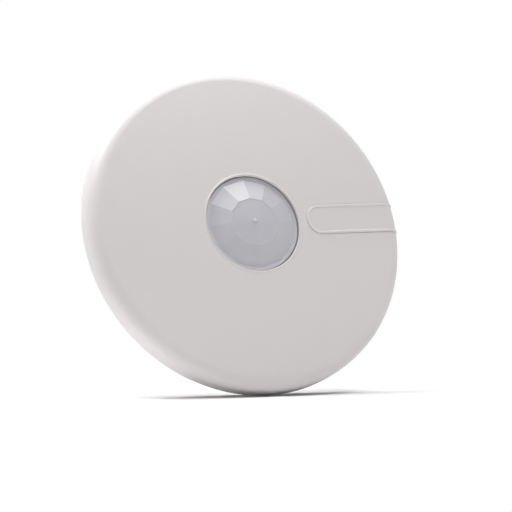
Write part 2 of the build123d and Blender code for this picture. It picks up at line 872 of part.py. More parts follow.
# Infrared sensor: a windowed can on a plastic spacer, with three leads through the board
with BuildPart() as sensor_holder:
    with BuildSketch(at(board_front)):
        Circle(holder_radius)
        with lead_spots:
            Circle(lead_radius + lead_gap, mode=Mode.SUBTRACT)
    extrude(amount=holder_thick)
sensor_holder.part.label = "sensor_holder"
export_step(sensor_holder.part, "parts/sensor_holder.step")

with BuildPart() as sensor_can:
    with BuildSketch(at(can_back)):
        Circle(can_rim_radius)
    extrude(amount=can_rim_thick)
    with BuildSketch(at(can_back)):
        Circle(can_radius)
    extrude(amount=can_height)
    fillet(sensor_can.edges().filter_by(GeomType.CIRCLE).sort_by(Axis.Y)[0], can_rim_thick)
    with BuildSketch(at(can_back + can_height)):
        Rectangle(window_width, window_height)
    extrude(amount=-window_sink, mode=Mode.SUBTRACT)
sensor_can.part.label = "sensor_can"
export_step(sensor_can.part, "parts/sensor_can.step")

with BuildPart() as sensor_window:
    with BuildSketch(at(can_back + can_height - window_sink)):
        Rectangle(window_width, window_height)
    extrude(amount=window_sink)
sensor_window.part.label = "sensor_window"
export_step(sensor_window.part, "parts/sensor_window.step")

with BuildPart() as sensor_leads:
    with BuildSketch(at(board_back - lead_tail)):
        with lead_spots:
            Circle(lead_radius)
    extrude(amount=can_back - board_back + lead_tail)
sensor_leads.part.label = "sensor_leads"
export_step(sensor_leads.part, "parts/sensor_leads.step")

# Walk test light, seen through the lens
with BuildPart() as walk_test_led:
    with BuildSketch(at(board_front)):
        with Locations((led_x, led_z)):
            Circle(led_rim_radius)
    extrude(amount=led_rim_thick)
    with BuildSketch(at(board_front)):
        with Locations((led_x, led_z)):
            Circle(led_radius)
    extrude(amount=led_height)
    with Locations((led_x, -board_front - led_height, led_z)):
        Sphere(led_radius)
walk_test_led.part.label = "walk_test_led"
export_step(walk_test_led.part, "parts/walk_test_led.step")

# Terminal block at the straight edge of the board, with its wires' entries towards the cable
with BuildPart() as terminal_block:
    with BuildSketch(Plane.YZ):
        with BuildLine():
            Polyline(
                (-board_front, board_flat_z),
                (-board_front, board_flat_z + terminal_depth),
                (-terminal_top, board_flat_z + terminal_depth),
                (-terminal_top, board_flat_z + terminal_slope),
                (-terminal_top + terminal_slope, board_flat_z),
                close=True,
            )
        make_face()
    extrude(amount=terminal_count * terminal_pitch / 2, both=True)
    with BuildSketch(entry_plane):
        with Locations((0, -entry_middle)):
            with GridLocations(terminal_pitch, 1, terminal_count, 1):
                Rectangle(entry_size, entry_size)
    extrude(amount=entry_depth, mode=Mode.SUBTRACT)
    with BuildSketch(at(entry_top)):
        with Locations((0, terminal_screw_z)):
            with GridLocations(terminal_pitch, 1, terminal_count, 1):
                Circle(terminal_screw_radius + terminal_screw_gap)
    extrude(amount=terminal_top - entry_top, mode=Mode.SUBTRACT)
terminal_block.part.label = "terminal_block"
export_step(terminal_block.part, "parts/terminal_block.step")

with BuildPart() as terminal_clamps:
    with BuildSketch(entry_plane.offset(entry_depth - clamp_length)):
        with Locations((0, -entry_middle)):
            with GridLocations(terminal_pitch, 1, terminal_count, 1):
                Rectangle(entry_size, entry_size)
                Rectangle(entry_size - 2 * clamp_wall, entry_size - 2 * clamp_wall, mode=Mode.SUBTRACT)
    extrude(amount=clamp_length)
terminal_clamps.part.label = "terminal_clamps"
export_step(terminal_clamps.part, "parts/terminal_clamps.step")

with BuildPart() as terminal_screws:
    with BuildSketch(at(entry_top)):
        with Locations((0, terminal_screw_z)):
            with GridLocations(terminal_pitch, 1, terminal_count, 1):
                Circle(terminal_screw_radius)
    extrude(amount=terminal_top - terminal_screw_sink - entry_top)
    with BuildSketch(at(terminal_top - terminal_screw_sink)):
        with Locations((0, terminal_screw_z)):
            with GridLocations(terminal_pitch, 1, terminal_count, 1):
                Rectangle(2 * terminal_screw_radius, drive_slot_width)
    extrude(amount=-drive_slot_depth, mode=Mode.SUBTRACT)
terminal_screws.part.label = "terminal_screws"
export_step(terminal_screws.part, "parts/terminal_screws.step")

# Tamper switch, pressed by the cover's post while the cover is shut
with BuildPart() as tamper_switch_body:
    with BuildSketch(at(board_front)):
        with Locations((tamper_x, tamper_z)):
            Rectangle(tamper_side, tamper_side)
    extrude(amount=tamper_height)
    with BuildSketch(at(tamper_front)):
        with Locations((tamper_x, tamper_z)):
            Circle(tamper_stem_radius + tamper_stem_gap)
    extrude(amount=-tamper_stem_socket, mode=Mode.SUBTRACT)
tamper_switch_body.part.label = "tamper_switch_body"
export_step(tamper_switch_body.part, "parts/tamper_switch_body.step")

with BuildPart() as tamper_button:
    with BuildSketch(at(tamper_front - tamper_stem_socket)):
        with Locations((tamper_x, tamper_z)):
            Circle(tamper_stem_radius)
    extrude(amount=tamper_stem_front - tamper_front + tamper_stem_socket)
    fillet(tamper_button.edges().sort_by(Axis.Y)[0], tamper_stem_radius / 4)
tamper_button.part.label = "tamper_button"
export_step(tamper_button.part, "parts/tamper_button.step")

# Switch bank with three small sliders
with BuildPart() as switch_bank_body:
    with BuildSketch(at(board_front)):
        with Locations((switch_x, switch_z)):
            Rectangle(switch_count * switch_pitch + switch_window_width / 2, switch_body_height)
    extrude(amount=switch_rise)
    with BuildSketch(at(board_front + switch_rise)):
        for index in range(switch_count):
            with Locations((slider_x(index), switch_z)):
                Rectangle(switch_window_width, switch_window_length)
    extrude(amount=-switch_window_sink, mode=Mode.SUBTRACT)
switch_bank_body.part.label = "switch_bank_body"
export_step(switch_bank_body.part, "parts/switch_bank_body.step")

for index in range(switch_count):
    with BuildPart() as mode_slider:
        with BuildSketch(at(board_front + switch_rise - switch_window_sink)):
            with Locations((slider_x(index), slider_z)):
                Rectangle(switch_window_width - 2 * slider_gap, slider_length)
        extrude(amount=switch_window_sink + slider_proud)
    mode_slider.part.label = f"mode_slider_{index + 1}"
    export_step(mode_slider.part, f"parts/mode_slider_{index + 1}.step")

# Sensitivity trimmer
with BuildPart() as trimmer_body:
    with BuildSketch(at(board_front)):
        with Locations((trimmer_x, trimmer_z)):
            Rectangle(trimmer_side, trimmer_side)
    extrude(amount=trimmer_height)
    chamfer(trimmer_body.edges().filter_by(Axis.Y), trimmer_side / 10)
    with BuildSketch(at(board_front + trimmer_height)):
        with Locations((trimmer_x, trimmer_z)):
            Circle(rotor_radius + rotor_gap)
    extrude(amount=-rotor_sink, mode=Mode.SUBTRACT)
trimmer_body.part.label = "trimmer_body"
export_step(trimmer_body.part, "parts/trimmer_body.step")

with BuildPart() as trimmer_rotor:
    with BuildSketch(at(board_front + trimmer_height - rotor_sink)):
        with Locations((trimmer_x, trimmer_z)):
            Circle(rotor_radius)
    extrude(amount=rotor_sink + rotor_proud)
    with BuildSketch(at(board_front + trimmer_height + rotor_proud)):
        with Locations((trimmer_x, trimmer_z)):
            cross_slot(1.5 * rotor_radius)
    extrude(amount=-drive_slot_depth, mode=Mode.SUBTRACT)
trimmer_rotor.part.label = "trimmer_rotor"
export_step(trimmer_rotor.part, "parts/trimmer_rotor.step")

# Alarm relay
with BuildPart() as alarm_relay:
    with BuildSketch(at(board_front)):
        with Locations((relay_x, relay_z)):
            Rectangle(relay_width, relay_length)
    extrude(amount=relay_height)
    fillet(alarm_relay.edges().filter_by(Axis.Y), relay_edge)
    fillet(alarm_relay.faces().sort_by(Axis.Y)[0].edges(), relay_edge / 2)
alarm_relay.part.label = "alarm_relay"
export_step(alarm_relay.part, "parts/alarm_relay.step")

# Two chips with rows of feet, and a regulator with three feet and a tab
with BuildPart() as processor_chip:
    chip_body(processor_x, processor_z, processor_length, chip_width, chip_height)
processor_chip.part.label = "processor_chip"
export_step(processor_chip.part, "parts/processor_chip.step")

with BuildPart() as amplifier_chip:
    chip_body(amplifier_x, amplifier_z, amplifier_length, chip_width, chip_height)
amplifier_chip.part.label = "amplifier_chip"
export_step(amplifier_chip.part, "parts/amplifier_chip.step")

with BuildPart() as voltage_regulator:
    chip_body(regulator_x, regulator_z, regulator_length, regulator_width, regulator_height)
voltage_regulator.part.label = "voltage_regulator"
export_step(voltage_regulator.part, "parts/voltage_regulator.step")

with BuildPart() as chip_feet:
    foot_row(processor_x, processor_z, chip_width, int(processor_length // chip_pitch), chip_foot_width)
    foot_row(amplifier_x, amplifier_z, chip_width, int(amplifier_length // chip_pitch), chip_foot_width)
    foot_row(regulator_x, regulator_z, regulator_width, 3, 1.5 * chip_foot_width)
chip_feet.part.label = "chip_feet"
export_step(chip_feet.part, "parts/chip_feet.step")

# Resonator in its metal can
with BuildPart() as crystal_resonator:
    with BuildSketch(at(board_front)):
        with Locations((crystal_x, crystal_z)):
            SlotOverall(crystal_length + 2 * can_rim_thick, crystal_width + 2 * can_rim_thick)
    extrude(amount=can_rim_thick)
    with BuildSketch(at(board_front)):
        with Locations((crystal_x, crystal_z)):
            SlotOverall(crystal_length, crystal_width)
    extrude(amount=crystal_height)
    fillet(crystal_resonator.faces().sort_by(Axis.Y)[0].edges(), can_rim_thick)
crystal_resonator.part.label = "crystal_resonator"
export_step(crystal_resonator.part, "parts/crystal_resonator.step")

# Electrolytic capacitors: cans with a rolled groove above the base
with BuildPart() as electrolytic_capacitors:
    capacitor_can(small_can_spots, small_can_radius, small_can_height)
    capacitor_can(large_can_spots, large_can_radius, large_can_height)
electrolytic_capacitors.part.label = "electrolytic_capacitors"
export_step(electrolytic_capacitors.part, "parts/electrolytic_capacitors.step")

# Rows of small chip resistors and chip capacitors
with BuildPart() as chip_resistors:
    chip_rows(resistor_spots, resistor_height)
chip_resistors.part.label = "chip_resistors"
export_step(chip_resistors.part, "parts/chip_resistors.step")

with BuildPart() as chip_capacitors:
    chip_rows(capacitor_spots, capacitor_height)
chip_capacitors.part.label = "chip_capacitors"
export_step(chip_capacitors.part, "parts/chip_capacitors.step")
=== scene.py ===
import json
import logging
import math
from dataclasses import dataclass
from enum import Enum
from typing import Callable, Optional, Sequence

import bmesh
import bpy
from mathutils import Matrix, Vector


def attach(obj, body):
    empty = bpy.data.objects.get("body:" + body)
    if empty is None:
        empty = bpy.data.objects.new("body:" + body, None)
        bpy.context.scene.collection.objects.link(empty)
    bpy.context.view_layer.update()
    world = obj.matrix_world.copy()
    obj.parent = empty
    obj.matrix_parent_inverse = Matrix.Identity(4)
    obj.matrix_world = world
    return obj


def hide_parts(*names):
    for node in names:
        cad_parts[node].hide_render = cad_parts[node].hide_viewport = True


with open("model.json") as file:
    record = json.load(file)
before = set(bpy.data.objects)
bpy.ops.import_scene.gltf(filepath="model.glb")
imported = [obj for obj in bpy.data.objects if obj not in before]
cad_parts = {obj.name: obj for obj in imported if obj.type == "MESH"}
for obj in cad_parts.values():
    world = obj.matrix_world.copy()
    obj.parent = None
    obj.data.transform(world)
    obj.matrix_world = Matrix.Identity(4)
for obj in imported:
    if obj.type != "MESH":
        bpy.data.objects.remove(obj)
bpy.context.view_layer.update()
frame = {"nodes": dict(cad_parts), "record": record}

# The ceiling face lies in the plane Y = 0, and a depth is counted from it towards -Y. The
# detector's axis is the Y axis, its name strip lies towards +X and its hinge towards -X.
# Lengths are in millimetres, and in metres in vectors, meshes and the studio.

LOG = logging.getLogger("motion_detector")
MM = 0.001
WELD_MM = 0.0005  # points closer together than this are joined
SLIVER_MM = 0.0002  # faces narrower than this are dropped
SKIN_TOLERANCE_MM = 0.01  # a point this near to the cover's true skin lies on it
FACING = 0.9  # a face whose normal agrees with the true one this well belongs to the skin
BEVEL_STEPS = 2  # how many faces cross a softened edge
OVERSHOOT_MM = 3.0  # how far a cutting tool stands out beyond the rim

# The Mix node's colour sockets go by number, because others have the same names
MIX_SHARE, MIX_FIRST, MIX_SECOND, MIX_RESULT = 0, 6, 7, 2

Point = tuple[float, float, float]
Pair = tuple[float, float]
Row = list[Vector]
Piece = bpy.types.Object
Tree = bpy.types.NodeTree
Socket = bpy.types.NodeSocket


class Join(Enum):
    """How one solid is combined with another."""

    ADD = "UNION"
    CUT = "DIFFERENCE"


class Lines(Enum):
    """Which way the fine lines of a metal run, as the stretch of their pattern in X, Y and Z."""

    ROUND_THE_AXIS = (0.04, 1.0, 0.04)
    ACROSS_Z = (0.04, 0.04, 1.0)


# Colour and node helpers


def linear(hex_colour: str) -> tuple[float, float, float, float]:
    """Turns an sRGB hex colour into linear light.

    Args:
        hex_colour: Six hex digits with a leading hash sign.

    Returns:
        Red, green, blue and alpha, each from 0 to 1.
    """
    channels = [int(hex_colour[i : i + 2], 16) / 255 for i in (1, 3, 5)]
    made = [c / 12.92 if c <= 0.04045 else ((c + 0.055) / 1.055) ** 2.4 for c in channels]
    return (made[0], made[1], made[2], 1.0)


def add_node(
    tree: Tree, kind: str, inputs: Optional[dict] = None, **settings: object
) -> bpy.types.Node:
    """Adds a node to a tree.

    Args:
        tree: The node tree.
        kind: The type of node, without the words that all shader nodes start with.
        inputs: A value for a socket, or another node's output to link to it, by name or number.
        settings: Properties of the node itself.

    Returns:
        The new node.
    """
    node = tree.nodes.new("ShaderNode" + kind)
    for name, value in settings.items():
        setattr(node, name, value)
    for name, value in (inputs or {}).items():
        if isinstance(value, Socket):
            tree.links.new(value, node.inputs[name])
        else:
            node.inputs[name].default_value = value
    return node


def new_material(name: str) -> tuple[bpy.types.Material, Tree]:
    """Makes an empty node material.

    Args:
        name: The material's name.

    Returns:
        The material and its cleared node tree.
    """
    material = bpy.data.materials.new(name)
    material.use_nodes = True
    material.node_tree.nodes.clear()
    return material, material.node_tree


def per_metre(size_mm: float) -> float:
    """The texture scale whose features are this many millimetres apart."""
    return 1.0 / (size_mm * MM)


# Finishes


@dataclass(frozen=True)
class Pattern:
    """What the pattern of a finish gives: its tones, its relief and the shader's other inputs."""

    tone: Socket
    relief: Socket
    relief_mm: float
    strength: float
    shader: dict[str, object]


@dataclass(frozen=True)
class Finish:
    """A real material in two close colours, which its pattern mixes and raises a little."""

    name: str
    colour: str
    shade: str
    roughness: float

    def pattern(self, tree: Tree, place: Socket) -> Pattern:
        """Makes the pattern, which each kind of finish has of its own."""
        raise NotImplementedError

    def build(self) -> bpy.types.Material:
        """Makes the material.

        Returns:
            The material, whose colour and relief come from the pattern.
        """
        material, tree = new_material(self.name)
        place = add_node(tree, "TexCoord").outputs["Object"]
        pattern = self.pattern(tree, place)
        tones = {MIX_FIRST: linear(self.colour), MIX_SECOND: linear(self.shade)}
        colour = add_node(tree, "Mix", {MIX_SHARE: pattern.tone, **tones}, data_type="RGBA")
        depth = pattern.relief_mm * MM
        bump = add_node(
            tree,
            "Bump",
            {"Strength": pattern.strength, "Distance": depth, "Height": pattern.relief},
        )
        inputs = {"Base Color": colour.outputs[MIX_RESULT], "Normal": bump.outputs["Normal"]}
        shader = add_node(tree, "BsdfPrincipled", {**inputs, **pattern.shader})
        add_node(tree, "OutputMaterial", {"Surface": shader.outputs["BSDF"]})
        return material


@dataclass(frozen=True)
class MouldedPlastic(Finish):
    """Injection-moulded plastic: a fine eroded tool texture over a faint flow mottle."""

    ior: float = 1.53
    grain_mm: float = 0.45
    depth_mm: float = 0.012
    mottle_mm: float = 14.0
    subsurface: float = 0.0
    smoother: float = 0.04
    rougher: float = 0.05

    def pattern(self, tree: Tree, place: Socket) -> Pattern:
        """Makes the mottle and the grain.

        Args:
            tree: The material's node tree.
            place: The point in the object's own frame.

        Returns:
            The mottle as tone, and the grain as relief and roughness.
        """
        mottle = add_node(
            tree,
            "TexNoise",
            {"Vector": place, "Scale": per_metre(self.mottle_mm), "Detail": 3.0, "Roughness": 0.55},
        ).outputs["Fac"]
        grain = add_node(
            tree,
            "TexNoise",
            {"Vector": place, "Scale": per_metre(self.grain_mm), "Detail": 2.0, "Roughness": 0.6},
        ).outputs["Fac"]
        ends = {"To Min": self.roughness - self.smoother, "To Max": self.roughness + self.rougher}
        rough = add_node(tree, "MapRange", {"Value": grain, **ends})
        shader = {
            "Roughness": rough.outputs[0],
            "IOR": self.ior,
            "Subsurface Weight": self.subsurface,
            "Subsurface Radius": (1.0, 0.9, 0.8),
            "Subsurface Scale": 1.2 * MM,
        }
        return Pattern(mottle, grain, self.depth_mm, strength=0.6, shader=shader)


@dataclass(frozen=True)
class WorkedMetal(Finish):
    """Metal with the fine lines of turning, drawing or rolling, and slight patches in its tone."""

    lines: Lines
    line_mm: float = 0.18
    depth_mm: float = 0.006
    patch_mm: float = 2.5
    smoother: float = 0.06
    rougher: float = 0.08

    def pattern(self, tree: Tree, place: Socket) -> Pattern:
        """Makes the lines and the patches.

        Args:
            tree: The material's node tree.
            place: The point in the object's own frame.

        Returns:
            The patches as tone, and the stretched lines as relief and roughness.
        """
        stretched = add_node(
            tree, "Mapping", {"Vector": place, "Scale": self.lines.value}
        ).outputs[0]
        lines = add_node(
            tree,
            "TexNoise",
            {"Vector": stretched, "Scale": per_metre(self.line_mm), "Detail": 4.0},
        ).outputs["Fac"]
        patches = add_node(
            tree,
            "TexNoise",
            {"Vector": place, "Scale": per_metre(self.patch_mm), "Detail": 2.0},
        ).outputs["Fac"]
        ends = {"To Min": self.roughness - self.smoother, "To Max": self.roughness + self.rougher}
        rough = add_node(tree, "MapRange", {"Value": lines, **ends})
        shader = {"Metallic": 1.0, "Roughness": rough.outputs[0]}
        return Pattern(patches, lines, self.depth_mm, strength=0.5, shader=shader)


@dataclass(frozen=True)
class MilkyPolyethylene(Finish):
    """Thin moulded polyethylene of the lens: cloudy, slightly waxy, faintly rippled in rings."""

    ior: float = 1.51
    ripple_mm: float = 6.9115
    depth_mm: float = 0.008
    cloud_mm: float = 6.0
    wave_radians: float = 20.0

    def pattern(self, tree: Tree, place: Socket) -> Pattern:
        """Makes the clouds, and ripples that run in rings round the detector's axis.

        Args:
            tree: The material's node tree.
            place: The point in the object's own frame.

        Returns:
            The clouds as tone and the ripples as relief.
        """
        flat = add_node(tree, "Mapping", {"Vector": place, "Scale": (1.0, 0.0, 1.0)}).outputs[0]
        # The wave node turns by wave_radians in one length of its scale, not by a full turn
        scale = per_metre(self.ripple_mm) * math.tau / self.wave_radians
        ripples = add_node(
            tree,
            "TexWave",
            {"Vector": flat, "Scale": scale, "Distortion": 0.0},
            wave_type="RINGS",
            rings_direction="SPHERICAL",
            wave_profile="SIN",
        ).outputs["Fac"]
        clouds = add_node(
            tree,
            "TexNoise",
            {"Vector": place, "Scale": per_metre(self.cloud_mm), "Detail": 3.0},
        ).outputs["Fac"]
        shader = {
            "Roughness": self.roughness,
            "IOR": self.ior,
            "Subsurface Weight": 0.15,
            "Subsurface Radius": (1.0, 1.0, 1.1),
            "Subsurface Scale": 0.8 * MM,
        }
        return Pattern(clouds, ripples, self.depth_mm, strength=0.35, shader=shader)


@dataclass(frozen=True)
class SolderMask(Finish):
    """Glass fibre board under solder mask: copper tracks show as paler bands in nested diamonds."""

    ior: float = 1.5
    cell_mm: float = 10.16
    pitch_mm: float = 2.032
    track_mm: float = 0.6
    depth_mm: float = 0.03

    def pattern(self, tree: Tree, place: Socket) -> Pattern:
        """Makes the tracks.

        Args:
            tree: The material's node tree.
            place: The point in the object's own frame.

        Returns:
            The tracks, both as tone and as relief.
        """
        cells = add_node(
            tree,
            "TexVoronoi",
            {"Vector": place, "Scale": per_metre(self.cell_mm), "Randomness": 0.8},
            distance="MANHATTAN",
            feature="F1",
        ).outputs["Distance"]
        bands = add_node(
            tree, "Math", {0: cells, 1: self.cell_mm / self.pitch_mm}, operation="MULTIPLY"
        ).outputs[0]
        phase = add_node(tree, "Math", {0: bands}, operation="FRACT").outputs[0]
        width = self.track_mm / self.pitch_mm
        tracks = add_node(tree, "Math", {0: phase, 1: width}, operation="LESS_THAN").outputs[0]
        shader = {"Roughness": self.roughness, "IOR": self.ior}
        return Pattern(tracks, tracks, self.depth_mm, strength=0.6, shader=shader)


# The finishes of this detector. Grain sizes are real ones where they can show in a view of the
# whole object, and otherwise as coarse as they need to be.
FINISHES = {
    # Satin ABS from an eroded tool: broad soft highlights and no mirror image
    "cover_plastic": MouldedPlastic("satin_moulded_abs", "#dad5d5", "#d7d2d2", roughness=0.46),
    # The same ABS from a coarser tool, as few see the tray: flatter and a little greyer
    "tray_plastic": MouldedPlastic(
        "satin_moulded_abs_tray", "#d8d4d2", "#d3cfcd", roughness=0.52, grain_mm=0.6, depth_mm=0.02
    ),
    # Thin polyethylene without pigment: greyer than the cover, waxy, with soft facet edges
    "lens_plastic": MilkyPolyethylene(
        "milky_moulded_polyethylene", "#c2c1c7", "#bebdc3", roughness=0.32
    ),
    # Black nylon: hardly any colour, and a dull sheen on its edges
    "dark_plastic": MouldedPlastic(
        "black_moulded_nylon", "#1c1c1e", "#242427", roughness=0.48, grain_mm=0.5, depth_mm=0.015
    ),
    # Lacquer over glass fibre: glossy deep green with paler tracks
    "board_green": SolderMask("green_solder_mask", "#11502a", "#1f6b3a", roughness=0.28),
    # Turned steel under zinc: cool grey, with highlights drawn out by its lines
    "steel": WorkedMetal(
        "zinc_plated_turned_steel", "#b9babd", "#a8a9ad", roughness=0.33, lines=Lines.ROUND_THE_AXIS
    ),
    # Nickel over a drawn can: warmer and nearly a mirror
    "sensor_metal": WorkedMetal(
        "nickel_plated_drawn_can", "#c6c3bb", "#bab7ae", roughness=0.22, lines=Lines.ROUND_THE_AXIS
    ),
    # Polished silicon under a coating: a dark pane with strong, sharp reflections
    "window_dark": MouldedPlastic(
        "coated_silicon_filter", "#15171c", "#1b1e25", roughness=0.12, ior=2.4, grain_mm=1.0,
        depth_mm=0.002, mottle_mm=3.0,
    ),
    # Gold over drawn wire: warm yellow with a soft shine
    "gold_lead": WorkedMetal(
        "gold_plated_drawn_wire", "#cba35a", "#bd9650", roughness=0.26, lines=Lines.ROUND_THE_AXIS
    ),
    # Dyed cast epoxy: glossy, with light in its depth
    "led_red": MouldedPlastic(
        "tinted_cast_epoxy", "#a81c14", "#981812", roughness=0.14, ior=1.55, grain_mm=1.0,
        depth_mm=0.002, mottle_mm=3.0, subsurface=0.3,
    ),
    # Polyamide, as terminal blocks are made of: plain satin green
    "terminal_green": MouldedPlastic(
        "moulded_polyamide", "#2f7145", "#2a673f", roughness=0.45, grain_mm=0.4, mottle_mm=5.0
    ),
    # Nylon without pigment: creamy, and soft where light goes in
    "nylon_white": MouldedPlastic(
        "natural_moulded_nylon", "#dcdad4", "#d2d0ca", roughness=0.44, grain_mm=0.4,
        depth_mm=0.01, mottle_mm=4.0, subsurface=0.1,
    ),
    # Polyester from a polished tool: strong blue with clear highlights
    "switch_blue": MouldedPlastic(
        "glossy_moulded_polyester", "#1f3f83", "#1b3876", roughness=0.28, ior=1.56,
        grain_mm=0.5, depth_mm=0.006, mottle_mm=4.0,
    ),
    # The same polyester in the trimmer's paler blue
    "trimmer_blue": MouldedPlastic(
        "moulded_polyester_housing", "#2d5f9c", "#28578f", roughness=0.3, ior=1.56,
        grain_mm=0.5, depth_mm=0.006, mottle_mm=4.0,
    ),
    # Tinted polycarbonate: a smooth amber case with light in its walls
    "relay_amber": MouldedPlastic(
        "tinted_polycarbonate_case", "#c08a3c", "#b47e33", roughness=0.18, ior=1.58,
        grain_mm=0.8, depth_mm=0.003, mottle_mm=5.0, subsurface=0.15,
    ),
    # Epoxy with mineral in it: matt charcoal, faintly sparkling
    "chip_black": MouldedPlastic(
        "moulded_black_epoxy", "#202022", "#29292c", roughness=0.55, ior=1.55, grain_mm=0.25,
        depth_mm=0.02, mottle_mm=3.0,
    ),
    # Rolled tin plate: pale and bright, with lines along the strip it was cut from
    "tin": WorkedMetal(
        "bright_rolled_tin_plate", "#c9c9cc", "#bcbcc0", roughness=0.3, lines=Lines.ACROSS_Z
    ),
    # Sleeve shrunk over a can: glossy dark blue, pulled smooth
    "can_sleeve": MouldedPlastic(
        "shrunk_sleeve_over_can", "#1d2440", "#242c4b", roughness=0.24, ior=1.5, grain_mm=0.6,
        depth_mm=0.006, mottle_mm=4.0,
    ),
    # Fired ceramic: matt tan with tiny specks
    "ceramic_tan": MouldedPlastic(
        "fired_ceramic_body", "#a2855e", "#947a56", roughness=0.5, ior=1.6, grain_mm=0.2,
        depth_mm=0.01, mottle_mm=1.5,
    ),
}

MATERIALS = {slot: finish.build() for slot, finish in FINISHES.items()}


# Points and outlines


def point_at(x: float, depth: float, z: float) -> Vector:
    """The point at a depth below the ceiling face, given in millimetres."""
    return Vector((x * MM, -depth * MM, z * MM))


def spread(start: float, end: float, steps: int) -> list[float]:
    """The numbers from start to end, both included, in equal steps."""
    return [start + (end - start) * i / steps for i in range(steps + 1)]


def arc(centre: Pair, radius: float, start: float, end: float, steps: int) -> list[Pair]:
    """The points of an arc in a flat outline, both ends included, by its angles in radians."""
    angles = spread(start, end, steps)
    return [(centre[0] + radius * math.cos(a), centre[1] + radius * math.sin(a)) for a in angles]


def ring(radius: float, depth: float, sides: int, place: Pair = (0.0, 0.0)) -> Row:
    """The points of a circle at a depth, from +X towards +Z, round a place in X and Z."""
    return [point_at(x, depth, z) for x, z in arc(place, radius, 0.0, math.tau, sides)[:-1]]


# Mesh helpers


def put(name: str, data: bpy.types.ID) -> Piece:
    """Puts a mesh, a lamp or a camera into the scene.

    Args:
        name: The object's name.
        data: What it shows.

    Returns:
        The new object.
    """
    made = bpy.data.objects.new(name, data)
    bpy.context.scene.collection.objects.link(made)
    return made


def clean_up(mesh: bpy.types.Mesh) -> None:
    """Joins points that coincide, drops faces without area and turns the rest outwards.

    Args:
        mesh: The mesh to clean.
    """
    work = bmesh.new()
    work.from_mesh(mesh)
    bmesh.ops.remove_doubles(work, verts=work.verts, dist=WELD_MM * MM)
    bmesh.ops.dissolve_degenerate(work, edges=work.edges, dist=SLIVER_MM * MM)
    bmesh.ops.recalc_face_normals(work, faces=work.faces)
    work.to_mesh(mesh)
    work.free()


def new_piece(name: str, vertices: Sequence[Vector], faces: Sequence[Sequence[int]]) -> Piece:
    """Makes a mesh object whose faces look outwards.

    Args:
        name: The piece's name.
        vertices: Points in metres.
        faces: Vertex numbers of each face.

    Returns:
        The new object, linked to the scene.
    """
    mesh = bpy.data.meshes.new(name)
    mesh.from_pydata([tuple(v) for v in vertices], [], [tuple(f) for f in faces])
    clean_up(mesh)
    return put(name, mesh)


def grid_faces(rows: int, columns: int, round_rows: bool, closed: bool = False) -> list[tuple]:
    """Four-sided faces between the points of rows that stand one after another.

    Args:
        rows: How many rows there are.
        columns: How many points each row has.
        round_rows: Whether each row closes on itself.
        closed: Whether the last row joins the first.

    Returns:
        The vertex numbers of each face.
    """
    faces = []
    for row in range(rows if closed else rows - 1):
        a, b = row * columns, (row + 1) % rows * columns
        for i in range(columns if round_rows else columns - 1):
            j = (i + 1) % columns
            faces.append((a + i, a + j, b + j, b + i))
    return faces


def turned_solid(name: str, profile: Sequence[Pair], segments: int) -> Piece:
    """Turns a closed profile about the detector's axis.

    Args:
        name: The piece's name.
        profile: Radius and depth of each corner of the section.
        segments: How many steps make the full turn.

    Returns:
        The turned solid.
    """
    vertices = []
    for turn in spread(0.0, math.tau, segments)[:-1]:
        vertices += [point_at(r * math.cos(turn), d, r * math.sin(turn)) for r, d in profile]
    faces = grid_faces(segments, len(profile), round_rows=True, closed=True)
    return new_piece(name, vertices, faces)


def prism(outline: Sequence[Vector], rise: Vector) -> Piece:
    """Extrudes a flat outline along a direction, as a part of a piece.

    Args:
        outline: The corners of the outline, in order, in metres.
        rise: The way and the length of the extrusion, in metres.

    Returns:
        The closed prism.
    """
    count = len(outline)
    vertices = [*outline, *(p + rise for p in outline)]
    sides = [(i, (i + 1) % count, (i + 1) % count + count, i + count) for i in range(count)]
    caps = [tuple(range(count)), tuple(range(count, 2 * count))]
    return new_piece("part", vertices, [*caps, *sides])


def column(place: Pair, radius: float, back: float, front: float, sides: int = 24) -> Piece:
    """A round column at a place in X and Z, from the depth of its back to that of its front."""
    return prism(ring(radius, back, sides, place), Vector((0, (back - front) * MM, 0)))


def web(angle: float, outline: Sequence[Pair], thick: float) -> Piece:
    """Makes a flat web in a plane through the detector's axis.

    Args:
        angle: The turn of its plane from +X towards +Z, in degrees.
        outline: Radius and depth of its corners.
        thick: Its thickness.

    Returns:
        The web.
    """
    across, beside = math.cos(math.radians(angle)), math.sin(math.radians(angle))
    side = Vector((-beside, 0, across)) * thick * MM
    corners = [point_at(r * across, d, r * beside) - side / 2 for r, d in outline]
    return prism(corners, side)


def combine(target: Piece, tool: Piece, how: Join) -> None:
    """Combines a solid with a tool solid, which is used up.

    Args:
        target: The solid that is changed.
        tool: The solid that is added or cut away.
        how: What is done with the tool.
    """
    modifier = target.modifiers.new("combine", "BOOLEAN")
    modifier.operation = how.value
    modifier.solver = "EXACT"
    modifier.object = tool
    bpy.context.view_layer.update()
    graph = bpy.context.evaluated_depsgraph_get()
    made = bpy.data.meshes.new_from_object(target.evaluated_get(graph))
    old = target.data
    target.modifiers.clear()
    target.data = made
    bpy.data.meshes.remove(old)
    bpy.data.objects.remove(tool)


def merge(name: str, parts: Sequence[Piece]) -> Piece:
    """Puts several closed meshes into one piece.

    Args:
        name: The name of the piece.
        parts: The objects whose meshes are taken over; they are removed.

    Returns:
        The piece.
    """
    work = bmesh.new()
    for part in parts:
        work.from_mesh(part.data)
    mesh = bpy.data.meshes.new(name)
    work.to_mesh(mesh)
    work.free()
    for part in parts:
        bpy.data.objects.remove(part)
    return put(name, mesh)


